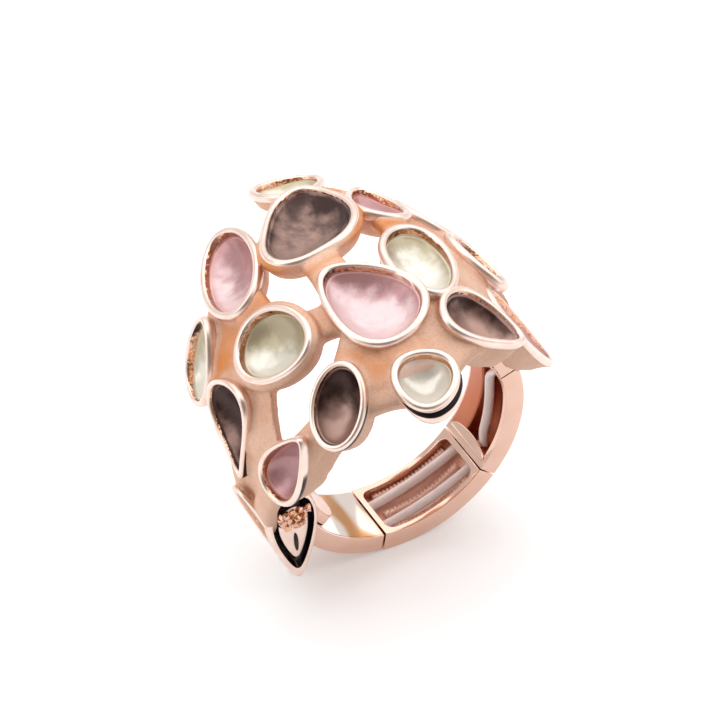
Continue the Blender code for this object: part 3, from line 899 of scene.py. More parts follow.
def sheet_mesh(sizes):
    """Curved three-sided sheets that follow the dome a little below the rims of three cups."""
    bm = bmesh.new()
    for names in SHEETS:
        corners = bmesh.ops.create_circle(bm, cap_ends=True, segments=3, radius=MM)["verts"]
        places = [Vector((CELL_OF[n].across, CELL_OF[n].along, CELL_OF[n].lift - SHEET_DROPS.get(n, 0.0)))
                  for n in names]
        middle = sum(places, Vector()) / len(places)
        for vert, place in zip(corners, places):
            vert.co = place.lerp(middle, SHEET_SHRINK)
    bmesh.ops.subdivide_edges(bm, edges=bm.edges, cuts=SHEET_CUTS, use_grid_fill=True)
    bm.normal_update()
    bmesh.ops.reverse_faces(bm, faces=[face for face in bm.faces if face.normal.z < 0])
    for vert in bm.verts:
        point, normal = dome_point(vert.co.x, vert.co.y)
        vert.co = point + normal * (vert.co.z - sizes.sheet_depth)
    bmesh.ops.solidify(bm, geom=bm.faces, thickness=sizes.web_thickness)
    bmesh.ops.recalc_face_normals(bm, faces=bm.faces)
    return mesh_of("sheets", bm)


def add_apron(bm, sizes):
    """An upright wall between the skirts of two cups at the open front."""
    ends = []
    for name, depth in APRON_ENDS:
        centre, out, _, _ = cell_axes(CELL_OF[name])
        ends.append(centre - out * depth - Vector((0, APRON_FORWARD, 0)))
    add_web(bm, *ends, sum(ends, Vector()) / 2, Vector((0, -1, 0)), APRON_HEIGHT, sizes.web_thickness)


def cup_root(cell):
    """Where a web runs into a cup, low enough to leave the rim free, and the cup's outward direction."""
    centre, out, _, _ = cell_axes(cell)
    return centre - out * max(0.55 * cell.depth, ROOT_DEPTH), out


def add_web_between(bm, first, second, sizes):
    start, normal_a = cup_root(first)
    end, normal_b = cup_root(second)
    normal = (normal_a + normal_b).normalized()
    top = (cell_axes(first)[0] + cell_axes(second)[0]) / 2
    shallow = max(min(first.depth, second.depth) / CUP_DEPTH, 0.85)
    bulge = (start - end).length ** 2 / (8 * DOME_RADIUS)
    middle = top + normal * (bulge - sizes.web_depth * shallow)
    width = min(sizes.web_width, 0.75 * min(first.width, second.width))
    shift = (end - start).cross(normal).normalized() * WEB_SHIFTS.get((first.name, second.name), 0.0)
    add_web(bm, start + shift, end + shift, middle + shift, normal, width, sizes.web_thickness)


def holder_of(name, bm, finishes=()):
    """An object that only lends its mesh to a modifier."""
    bmesh.ops.recalc_face_normals(bm, faces=bm.faces)
    holder = bpy.data.objects.new(name, mesh_of(name, bm))
    for finish in finishes:
        holder.data.materials.append(finish)
    bpy.context.scene.collection.objects.link(holder)
    return holder


def add_cut(holder, cutter):
    cut = holder.modifiers.new("cut", "BOOLEAN")
    cut.operation = "DIFFERENCE"
    cut.solver = "MANIFOLD"
    cut.object = cutter


def evaluated_mesh(name, *holders):
    """The mesh that the first holder's modifiers make. All the holders are then removed."""
    graph = bpy.context.evaluated_depsgraph_get()
    mesh = bpy.data.meshes.new_from_object(holders[0].evaluated_get(graph))
    for holder in holders:
        data = holder.data
        bpy.data.objects.remove(holder)
        bpy.data.meshes.remove(data)
    mesh.name = name
    return mesh


def cut_piece(name, bm, cutters, body, finishes, replaced=()):
    """A piece of rose gold that the cutters are taken out of."""
    holder = holder_of(name, bm, finishes)
    for cutter in cutters:
        add_cut(holder, cutter)
    mesh = evaluated_mesh(name, holder, *cutters)
    mesh.transform(TO_TABLE)
    settle_piece(shown_piece(name, mesh), body, replaced, SHARP_ANGLE)


def clearance_holder(names):
    """The room over the openings of some shallow cups, as one cutter."""
    bm = bmesh.new()
    for cell in (CELL_OF[name] for name in names):
        rows = ((0.8 * cell.depth, 0.98, 0.0), (0.4 * cell.depth, 1.0, 0.5 * MM), (-3 * MM, 1.0, 0.6 * MM))
        loft(bm, [cell_ring(cell, RIM_POINTS, depth, scale, grow) for depth, scale, grow in rows])
    return holder_of("clearance", bm)


def fuse(holder, voxel, rounds):
    """One skin over all the closed shells of a mesh, with soft fillets where they meet."""
    remesh = holder.modifiers.new("fuse", "REMESH")
    remesh.mode = "VOXEL"
    remesh.voxel_size = voxel
    soften = holder.modifiers.new("soften", "SMOOTH")
    soften.factor = 0.5
    soften.iterations = rounds


def store_values(mesh, name, values):
    """Keeps a number for each point of a mesh, for a finish to read."""
    mesh.attributes.new(name, "FLOAT", "POINT").data.foreach_set("value", values.astype(np.float32))


def clear_of_cups(places):
    """How far points lie from the middle of the nearest cup, where 1 is just outside its rim."""
    apart = np.full(len(places), np.inf)
    for cell in CELLS:
        centre, _, lengthwise, sideways = (np.array(axis) for axis in cell_axes(cell))
        u = (places - centre) @ lengthwise / (cell.length / 2 + CUP_MARGIN)
        v = (places - centre) @ sideways / (cell.width / 2 + CUP_MARGIN)
        apart = np.minimum(apart, np.hypot(u, v))
    return apart


def paint_amber_and_shade(mesh):
    """Stores where the webs get a painted amber reflection, towards the back and the middle, and the painted
    shade of walls that face forward.
    """
    places = np.zeros(len(mesh.vertices) * 3)
    mesh.vertices.foreach_get("co", places)
    places = places.reshape(-1, 3)
    facing = np.zeros(len(mesh.vertices) * 3, dtype=np.float32)
    mesh.vertex_normals.foreach_get("vector", facing)
    x, y, z = places.T / MM
    dome = DOME_RADIUS / MM - y * y / (2 * CROWN_RADIUS / MM)
    below = dome - np.hypot(x - HEAD_SHIFT / MM, z - HEAD_LIFT / MM)
    # Webs, fading out on the walls under them, then the two regions, all in millimetres
    web = np.clip((clear_of_cups(places) - 1.0) / 0.2, 0, 1)
    web *= 1 - 0.8 * np.clip((below - 1.3) / 0.9, 0, 1)
    back = np.clip(0.2 + y / 5.5, 0.0, 1.0) * np.clip((11.5 - x) / 3, 0.1, 1.0)
    middle = 0.6 * np.exp(-((x - 2.0) / 3.5) ** 2 - ((y + 7.0) / 2.5) ** 2)
    store_values(mesh, "hollow", web * np.maximum(back, middle))
    # Painted shade: walls that face forward, towards the open front
    front = np.clip(-facing.reshape(-1, 3)[:, 1], 0, 1) * np.clip(-y / 4.0, 0, 1)
    store_values(mesh, "front", front)


# Band geometry


def on_band(radius, y, degrees):
    """A point at an angle round the band, counted from the bottom towards +X."""
    angle = math.radians(degrees)
    return Vector((radius * math.sin(angle), y, -radius * math.cos(angle)))


def arc_degrees(length, radius):
    return math.degrees(length / radius)


def straight_bar(bm, length, width, wall):
    """A bar lying along X, its outer face at Z = 0 and the finger's side up."""
    size = Matrix.Diagonal((length, width, wall, 1.0))
    bmesh.ops.create_cube(bm, size=1.0, matrix=Matrix.Translation((0, 0, wall / 2)) @ size)


def sunk_trough(bm, wall, frame_width, corner, floor):
    """Sinks a trough with rounded corners into the finger's side, and returns its floor's faces."""
    top = max(bm.faces, key=lambda f: f.calc_center_median().z)
    bmesh.ops.inset_region(bm, faces=[top], thickness=frame_width)
    bmesh.ops.bevel(bm, geom=list(top.verts), offset=corner, segments=5, profile=0.5,
                    affect="VERTICES", material=-1)
    level = wall - LEVEL_SLACK
    flat = [f for f in bm.faces if all(v.co.z > level for v in f.verts)]
    inner = min(flat, key=lambda f: f.calc_center_bounds().to_2d().length)
    made = bmesh.ops.extrude_face_region(bm, geom=[inner])["geom"]
    bmesh.ops.delete(bm, geom=[inner], context="FACES_ONLY")
    bmesh.ops.translate(bm, verts=new_verts(made), vec=(0, 0, floor - wall))
    return [item for item in made if isinstance(item, bmesh.types.BMFace)]


def slice_bar(bm, length, steps):
    for i in range(1, steps):
        x = (i / steps - 0.5) * length
        bmesh.ops.bisect_plane(bm, geom=everything(bm), dist=CUT_SLACK, plane_co=(x, 0, 0),
                               plane_no=(1, 0, 0))


def wrap_bar(bm, length, outer, start, end):
    """Wraps a straight bar round the finger between two angles."""
    for vert in bm.verts:
        angle = start + (vert.co.x / length + 0.5) * (end - start)
        vert.co = on_band(outer - vert.co.z, vert.co.y, angle)


def bend_bar(bm, length, outer, start, end):
    slice_bar(bm, length, max(4, round(abs(end - start) / 2.5)))
    wrap_bar(bm, length, outer, start, end)


def bevel_sharp(bm, width):
    limit = math.radians(BEVEL_ANGLE)
    edges = [e for e in bm.edges if len(e.link_faces) == 2 and e.calc_face_angle() > limit]
    bmesh.ops.bevel(bm, geom=edges, offset=width, segments=3, profile=0.5,
                    affect="EDGES", material=-1, clamp_overlap=True)


def add_knurl(bm, y, width, base, height, radius, start, end):
    """A narrow rib along the band whose top is notched from side to side."""
    rib = bmesh.new()
    length = math.radians(end - start) * radius
    straight_bar(rib, length, width, height)
    steps = 2 * round(length / KNURL_PITCH)
    slice_bar(rib, length, steps)
    for vert in rib.verts:
        if vert.co.z > height / 2:
            notch = round((vert.co.x / length + 0.5) * steps) % 2
            vert.co.z -= KNURL_DEPTH * notch
    bmesh.ops.translate(rib, verts=rib.verts, vec=(0, y, base))
    wrap_bar(rib, length, radius, start, end)
    take_in(bm, mesh_of("knurl", rib))


# Cord geometry


def cord_sides(sizes):
    return (("front", -sizes.cord_spacing / 2), ("rear", sizes.cord_spacing / 2))


def add_tube(bm, y, rows):
    """A round tube along the cord's path. Each row is an angle round the band and a diameter."""
    rings = []
    for angle, diameter in rows:
        radius, across = cord_place(angle, y)
        half = diameter / 2
        rings.append([on_band(radius + half * math.cos(a), across + half * math.sin(a), angle)
                      for a in round_angles(CORD_SIDES)])
    loft(bm, rings)


def bore_holder(sizes, start, end):
    """The two holes that the cords run through, as one cutter."""
    bm = bmesh.new()
    for _, y in cord_sides(sizes):
        add_tube(bm, y, spread(start, end, sizes.cord_diameter + 2 * CORD_CLEARANCE))
    return holder_of("bores", bm)


def cord_place(angle, y):
    """A cord's radius and place across the band.

    The cords pull nearly straight across the bottom trough. In the right one the near cord slants
    across to the step and turns back.
    """
    _, low, right, high = JOINT_ANGLES
    share = (angle - low - CORD_GUIDE) / (right - low - 2 * CORD_GUIDE)
    if 0 < share < 1:
        return CORD_RADIUS - CORD_PULL * (1 - (2 * share - 1) ** 2), y
    share = (angle - right - CORD_GUIDE) / (high - right - 2 * CORD_GUIDE)
    if 0 < share < 1 and y < 0:
        rise = min(1.0, 5 * share, 5 * (1 - share))
        rise = rise * rise * (3 - 2 * rise)
        slant = 0.15 * rise + share / 0.85
        back = 5 * (1 - share)
        bow = slant * back / (slant ** 3 + back ** 3) ** (1 / 3)
        return CORD_RADIUS - CORD_RISE * rise, y + CORD_BOW * bow
    return CORD_RADIUS, y


def spread(start, end, diameter):
    """Rows of a tube between two angles, about 2 degrees apart."""
    steps = max(2, round(abs(end - start) / 2))
    return [(start + (end - start) * i / steps, diameter) for i in range(steps + 1)]


def length_property(name, description, default):
    return bpy.props.FloatProperty(
        name=name, description=description, default=default, unit="LENGTH", precision=5)


def share_property(name, description, default):
    return bpy.props.FloatProperty(
        name=name, description=description, default=default, min=0.0, max=1.0, subtype="FACTOR")


def colour_property(name, description, default):
    return bpy.props.FloatVectorProperty(
        name=name, description=description, default=default, size=3, min=0.0, max=1.0, subtype="COLOR")


class RingSizes(bpy.types.PropertyGroup):
    """Sizes of the pieces that are made here."""

    rim_width: length_property("Rim width", "Width of a cup's rim", 0.55 * MM)
    sheet_depth: length_property("Sheet depth", "How far a sheet's face lies below the rims", 0.52 * MM)
    web_width: length_property("Web width", "Widest web between two cups", 3.0 * MM)
    web_thickness: length_property("Web thickness", "Thickness of a web", 1.2 * MM)
    web_depth: length_property("Web depth", "How far a web lies below the rims", 1.08 * MM)
    voxel: length_property("Casting detail", "Grid that the casting is fused on", 0.14 * MM)
    finger_radius: length_property("Finger radius", "Inside radius of the band", 8.75 * MM)
    band_wall: length_property("Band wall", "Thickness of the band", 1.55 * MM)
    band_width: length_property("Band width", "Width of the band", 5.4 * MM)
    cord_diameter: length_property("Cord diameter", "Thickness of the elastic", 0.74 * MM)
    cord_spacing: length_property("Cord spacing", "Between the middles of the cords", 2.3 * MM)


class RingFinishes(bpy.types.PropertyGroup):
    """Colours and polish of the finishes."""

    gold: colour_property("Rose gold", "Polished plating", (0.72, 0.45, 0.345))
    rim: colour_property("Rim gold", "Buffed rims", (0.93, 0.8, 0.73))
    gold_pale: colour_property("Pale gold", "Lighter patches of the plating", (0.79, 0.56, 0.46))
    satin: colour_property("Satin gold", "Cup walls and webs", (0.78, 0.51, 0.38))
    satin_deep: colour_property("Deep satin", "Darker patches of the walls", (0.74, 0.43, 0.285))
    satin_dark: colour_property("Dark satin", "Grain of the walls", (0.42, 0.25, 0.18))
    # Painted shade for walls at the open front, then painted amber reflection for the hollows between the
    # cups
    satin_shade: colour_property("Shaded satin", "Walls at the open front", (0.5, 0.31, 0.22))
    amber: colour_property("Amber", "Hollows between the cups", (0.68, 0.24, 0.055))
    # Painted dark reflection, near black with warmer patches: the cheek's grooves, painted shade in its
    # slit, the creases of some rims and some bare insides
    painted_dark: colour_property("Painted dark", "Grooves of the cheek and creases of the rims", (0.03, 0.022, 0.026))
    painted_dark_warm: colour_property("Warm tarnish", "Warmer patches of the grooves", (0.12, 0.06, 0.05))
    copper: colour_property("Copper", "Unpolished metal in the bottom trough", (1.0, 0.76, 0.66))
    copper_dark: colour_property("Dark copper", "Hollows of the unpolished metal", (0.96, 0.55, 0.42))
    coral: colour_property("Coral", "Smooth metal in the right trough", (0.53, 0.2, 0.125))
    coral_deep: colour_property("Deep coral", "Deeper patches of the smooth metal", (0.46, 0.145, 0.068))
    lumpy_deep: colour_property("Deep lumpy gold", "Low parts of the cups' bare insides", (0.72, 0.36, 0.2))
    # Painted amber reflection inside the left link
    amber_pale: colour_property("Pale amber", "Warm patches inside the left link", (0.6, 0.29, 0.12))
    brown_dark: colour_property("Dark brown", "Shaded brown enamel", (0.052, 0.024, 0.021))
    brown_light: colour_property("Light brown", "Lit brown enamel", (0.41, 0.255, 0.21))
    pink: colour_property("Pink", "Pink enamel", (0.86, 0.65, 0.66))
    pink_dark: colour_property("Dark pink", "Shaded pink enamel", (0.48, 0.25, 0.26))
    # Painted shade and reflection of the gold wall at the edge of the pink pool
    pink_edge: colour_property("Pink edge", "Edge of the pink enamel", (0.76, 0.4, 0.36))
    cream: colour_property("Cream", "Cream enamel", (0.88, 0.85, 0.76))
    cream_dark: colour_property("Dark cream", "Shaded cream enamel", (0.48, 0.41, 0.27))
    # Painted shade and reflection of the gold wall at the edge of the cream pool
    cream_edge: colour_property("Cream edge", "Edge of the cream enamel", (0.62, 0.53, 0.34))
    cord: colour_property("Elastic", "Elastic cords", (0.86, 0.76, 0.75))
    cord_pale: colour_property("Pale elastic", "Lighter parts of the cords", (0.93, 0.87, 0.86))
    polish: share_property("Polish", "Roughness of the polished gold", 0.1)
    rim_rough: share_property("Rim", "Roughness of the rims", 0.3)
    satin_rough: share_property("Satin", "Roughness of the satin gold", 0.54)


class RING_OT_cast_head(bpy.types.Operator):
    """Fuses the cups, webs and sheets into one casting and cuts the pockets"""

    bl_idname = "ring.cast_head"
    bl_label = "Cast Head"

    def execute(self, context):
        sizes = context.scene.ring_sizes
        finishes = context.scene.ring_finishes
        solid = bmesh.new()
        for cell in CELLS:
            add_cup(solid, cell, sizes)
        for first, second in WEBS:
            add_web_between(solid, CELL_OF[first], CELL_OF[second], sizes)
        add_tip_skirt(solid, CELL_OF["right_tip"], sizes)
        add_apron(solid, sizes)
        for side, webs in LUG_WEBS.items():
            outward = 1 if side == "right" else -1
            joint = JOINT_ANGLES[-1] if side == "right" else JOINT_ANGLES[0]
            for name, y, past, height in webs:
                root = on_band(sizes.finger_radius + height, y, joint + outward * past)
                end, normal = cup_root(CELL_OF[name])
                add_web(solid, root, end, (root + end) / 2, normal, LUG_WEB_WIDTH, sizes.web_thickness)
        take_in(solid, sheet_mesh(sizes))
        casting = holder_of("casting", solid, [finish_of(satin_gold, finishes)])
        cutter = pocket_holder(CELLS, POCKET_ROOM)
        fuse(casting, sizes.voxel, FUSE_ROUNDS)
        add_cut(casting, cutter)
        mesh = evaluated_mesh("head_body", casting, cutter)
        paint_amber_and_shade(mesh)
        mesh.transform(TO_TABLE)
        settle_piece(shown_piece("head_body", mesh), "head", ["head_casting"],
                     CASTING_SHARP_ANGLE)
        return {"FINISHED"}


class RING_OT_polish_rims(bpy.types.Operator):
    """Sweeps a rounded rim round each cup's opening"""

    bl_idname = "ring.polish_rims"
    bl_label = "Polish Rims"

    def execute(self, context):
        finishes = context.scene.ring_finishes
        coats = [finish_of(bright_rim, finishes), finish_of(lumpy_gold, finishes)]
        whole = bmesh.new()
        for cell in CELLS:
            rim = holder_of("rim", self.rim_mesh(cell), coats)
            others = pocket_holder([c for c in CELLS if c is not cell and c.name not in BEHIND], 0.0)
            add_cut(rim, others)
            take_in(whole, evaluated_mesh("rim", rim, others))
        make_piece("cup_rims", whole, "head", coats, sharp=RIM_SHARP_ANGLE)
        self.add_front_bowl(finishes)
        return {"FINISHED"}

    def rim_mesh(self, cell):
        """One rim, bare gold inside the cup and buffed outside, with where it gets painted dark reflection
        stored.
        """
        bm = bmesh.new()
        crease = bm.verts.layers.float.new("crease")
        share = RIM_SHARE.get(cell.name, 1.0)
        room = min(1.0, cell.depth / RIM_ROOM)
        rings = []
        for out, depth in RIM_SECTION:
            grow = out * MM * (share if out > 0 else 1.0)
            rings.append(cell_ring(cell, RIM_POINTS, depth * MM * room, 1.0, grow))
        loops = loft(bm, rings, capped=False)
        bmesh.ops.bridge_loops(bm, edges=loop_edges(bm, loops[0]) + loop_edges(bm, loops[-1]))
        inside = {vert for loop in loops[:RIM_INSIDE] for vert in loop}
        under = {vert for loop in loops[RIM_CREASE:] for vert in loop}
        middle = cell_axes(cell)[0]
        # Painted dark reflection: the undersides of some rims on one side, and the bare insides of others on
        # the side where the enamel lies lowest
        for names, verts, side in ((PAINTED_DARK_RIMS, under, PAINTED_DARK_RIM_SIDE), (PAINTED_DARK_INSIDES, inside, BARE_SIDE)):
            for vert in verts if cell.name in names else ():
                vert[crease] = max(0.0, (vert.co - middle).normalized().dot(side))
        for face in faces_of(inside):
            if inside.issuperset(face.verts):
                face.material_index = 1
        return bm

    def add_front_bowl(self, finishes):
        """The bowl under the front cup, with painted dark reflection in the crease below the rim."""
        bm = bmesh.new()
        rings = []
        for depth, share, grow, forward in FRONT_BOWL:
            ring = cell_ring(CELL_OF["front"], RIM_POINTS, depth * MM, share, grow * MM)
            rings.append([point - Vector((0, forward * MM, 0)) for point in ring])
        crease = bm.verts.layers.float.new("crease")
        # Painted dark reflection in a band below the rim
        for (depth, _, _, _), loop in zip(FRONT_BOWL, loft(bm, rings)):
            for vert in loop:
                vert[crease] = BOWL_CREASE if BOWL_DARK[0] < depth < BOWL_DARK[1] else 0.0
        make_piece("front_bowl", bm, "head", [finish_of(bright_rim, finishes)])


class RING_OT_pour_enamel(bpy.types.Operator):
    """Pours a dished pool of enamel into each cup"""

    bl_idname = "ring.pour_enamel"
    bl_label = "Pour Enamel"

    def execute(self, context):
        finishes = context.scene.ring_finishes
        for order, cell in enumerate(CELLS):
            bm = self.pool_mesh(cell, order)
            name = f"{cell.colour}_{cell.name}"
            piece = make_piece(f"pool_{name}", bm, "head", [enamel_finish(cell.colour, finishes)],
                               [f"enamel_{name}"])
            out = cell_axes(cell)[1]
            self.paint_pearl_light(piece.data, TO_TABLE.to_3x3() @ out, POOL_PAINTED_LIGHT.get(cell.name, 0.0))
        return {"FINISHED"}

    def pool_mesh(self, cell, order):
        """A pool with a dished, rippled top and an uneven edge, which stores its share of the opening."""
        bm = bmesh.new()
        pool = bm.verts.layers.float.new("pool")
        shallow = cell.depth / CUP_DEPTH
        level, sway = (size * shallow for size in POOL_EDGE[cell.colour])
        under = pocket_depth(cell) - POOL_GAP
        dish = min(DISH_DEEPEST, under - ENAMEL_FLOOR)
        centre, out, _, _ = cell_axes(cell)
        rings = [cell_ring(cell, POOL_POINTS, depth * under, scale) for depth, scale in POOL_UNDER]
        for share in POOL_SHARES:
            ring = cell_ring(cell, POOL_POINTS, 0.0, POOL_FIT * share)
            for i, a in enumerate(round_angles(POOL_POINTS)):
                point = ring[i]
                side = (point - centre).normalized().dot(BARE_SIDE)
                edge = level + sway * (0.8 * side + 0.25 * math.sin(3 * a + 2 * order))
                wave = noise.noise(point / POOL_RIPPLE_SIZE) * (1 - share ** 4)
                sunk = edge + (dish - edge) * (1 - share * share) ** 0.7
                ring[i] = point - out * (sunk + POOL_RIPPLE * shallow * wave)
            rings.append(ring)
        for share, loop in zip((1.0,) * len(POOL_UNDER) + POOL_SHARES, loft(bm, rings)):
            for vert in loop:
                vert[pool] = share
        return bm

    def paint_pearl_light(self, mesh, out, tone):
        """Stores the painted light of each point: which slope of the dish it lies on, 0 towards the front
        and 1 towards the back, shifted by the cup's painted light.
        """
        back = view_direction(*PAINTED_LIGHT_SIDE)
        values = [0.5 + tone + 0.7 * (vertex.normal - out).dot(back) for vertex in mesh.vertices]
        store_values(mesh, "slope", np.array(values))


class RING_OT_close_ends(bpy.types.Operator):
    """Makes the two lugs, the tongue over the left joint and the cheek in front of it"""

    bl_idname = "ring.close_ends"
    bl_label = "Close Ends"

    def execute(self, context):
        sizes = context.scene.ring_sizes
        finishes = context.scene.ring_finishes
        self.add_lug("right", sizes, finishes)
        self.add_lug("left", sizes, finishes)
        self.add_tongue(sizes, finishes)
        self.add_cheek(finishes)
        return {"FINISHED"}

    def add_lug(self, side, sizes, finishes):
        """A hollow block at one end of the head, where the cords are knotted."""
        gap = arc_degrees(JOINT_GAP, sizes.finger_radius) / 2
        length = arc_degrees(LUG_LENGTH, sizes.finger_radius)
        wall = LUG_WALL
        start, end = JOINT_ANGLES[-1] + gap, JOINT_ANGLES[-1] + gap + length
        if side == "left":
            start, end = JOINT_ANGLES[0] - gap - length, JOINT_ANGLES[0] - gap
            wall += TONGUE_THICKNESS + TONGUE_CLEARANCE
        bm = bmesh.new()
        straight_bar(bm, LUG_LENGTH, sizes.band_width, wall)
        for face in sunk_trough(bm, wall, LUG_FRAME, LUG_CORNER, LUG_FLOOR):
            face.material_index = 1
        bevel_sharp(bm, LUG_EDGE)
        bend_bar(bm, LUG_LENGTH, sizes.finger_radius + LUG_WALL, start, end)
        middle = (start + end) / 2
        reach = (start - CORD_TUCK, middle) if side == "right" else (middle, end + CORD_TUCK)
        cutters = [bore_holder(sizes, *reach), clearance_holder(name for name, *_ in LUG_WEBS[side])]
        coats = [finish_of(polished_gold, finishes), finish_of(raw_copper, finishes)]
        cut_piece(f"lug_{side}", bm, cutters, "head", coats)

    def add_tongue(self, sizes, finishes):
        """A round-ended flap that reaches from the left lug over the joint, inside the band."""
        inner = sizes.finger_radius - TONGUE_CLEARANCE - TONGUE_THICKNESS
        root = LUG_END_WALL / 2
        length = TONGUE_LENGTH + root
        bm = bmesh.new()
        straight_bar(bm, length, TONGUE_WIDTH, TONGUE_THICKNESS)
        ends = [e for e in bm.edges if all(v.co.x > 0 for v in e.verts)]
        tips = [e for e in ends if abs(e.verts[0].co.z - e.verts[1].co.z) > TONGUE_THICKNESS / 2]
        bmesh.ops.bevel(bm, geom=tips, offset=TONGUE_ROUND * TONGUE_WIDTH, segments=14, profile=0.5,
                        affect="EDGES", material=-1)
        bm.normal_update()
        for face in bm.faces:
            face.material_index = 1 if abs(face.normal.z) < 0.5 else 0
        bevel_sharp(bm, TONGUE_EDGE)
        start = JOINT_ANGLES[0] - arc_degrees(root, sizes.finger_radius)
        end = JOINT_ANGLES[0] + arc_degrees(TONGUE_LENGTH, sizes.finger_radius)
        bend_bar(bm, length, inner + TONGUE_THICKNESS, start, end)
        coats = [finish_of(polished_gold, finishes), finish_of(raw_copper, finishes)]
        make_piece("joint_tongue", bm, "head", coats, sharp=SHARP_ANGLE)

    def add_cheek(self, finishes):
        """A pointed plate with a groove round a raised middle, and casting crumbs at its top."""
        turn = math.radians(CHEEK_TURN)
        centre = Vector((CHEEK_PLACE[0], 0.0, CHEEK_PLACE[1]))
        lengthwise = Vector((-math.cos(turn), 0.0, -math.sin(turn)))
        sideways = Vector((math.sin(turn), 0.0, -math.cos(turn)))
        bm = bmesh.new()
        rings = []
        for y, share, _ in CHEEK_PROFILE:
            tip = CHEEK_TIP if share < GROOVE_SHARE else 0.0
            ring = []
            for a in round_angles(CHEEK_POINTS):
                u = CHEEK_LENGTH / 2 * share * math.cos(a) - tip
                v = CHEEK_WIDTH / 2 * share * math.sin(a) * (1 - CHEEK_TAPER * math.cos(a))
                ring.append(centre + lengthwise * u + sideways * v + Vector((0, y, 0)))
            rings.append(ring)
        loops = loft(bm, rings)
        strip_of = {vert: i for i, loop in enumerate(loops) for vert in loop}
        for face in bm.faces:
            strips = [strip_of[vert] for vert in face.verts if vert in strip_of]
            face.material_index = CHEEK_PROFILE[min(strips)][2]
        self.add_slit(bm, centre + lengthwise * SLIT_DOWN, lengthwise, sideways)
        self.add_crumbs(bm, centre + Vector((0, CHEEK_FRONT + CRUMB_DEPTH, 0)), lengthwise, sideways)
        coats = [finish_of(make, finishes) for make in (bright_rim, dark_channel, lumpy_gold)]
        cut_piece("end_cheek", bm, [], "head", coats)

    def add_slit(self, bm, middle, lengthwise, sideways):
        """A short slot in the raised middle of the cheek, with painted shade in it."""
        half_length, half_width = SLIT_SIZE
        rings = []
        for y, share in SLIT_SECTION:
            face_place = middle + Vector((0, CHEEK_FRONT + y, 0))
            rings.append([face_place + lengthwise * half_length * share * math.cos(a)
                          + sideways * half_width * share * math.sin(a) for a in round_angles(SLIT_POINTS)])
        # Painted shade: the slot's faces take the near-black groove finish
        for loop in loft(bm, rings):
            for face in faces_of(loop):
                face.material_index = 1

    def add_crumbs(self, bm, floor, lengthwise, sideways):
        """Rough lumps left by the casting, in rows that thin out down the cheek."""
        noise.seed_set(CRUMB_SEED)
        down, across = CRUMB_STEP
        for row, count in enumerate(CRUMB_ROWS):
            for k in range(count):
                u = CRUMB_TOP + row * down
                v = (k - (count - 1) / 2) * across
                place = floor + lengthwise * u + sideways * v
                sway = noise.noise_vector(place / CRUMB_RADIUS) * CRUMB_SWAY
                lump = bmesh.ops.create_icosphere(bm, subdivisions=2, radius=CRUMB_RADIUS)["verts"]
                for vert in lump:
                    vert.co *= 1.0 + 0.5 * noise.noise((vert.co + place) / CRUMB_GRAIN)
                    vert.co += place + sway
                for face in faces_of(lump):
                    face.material_index = 2


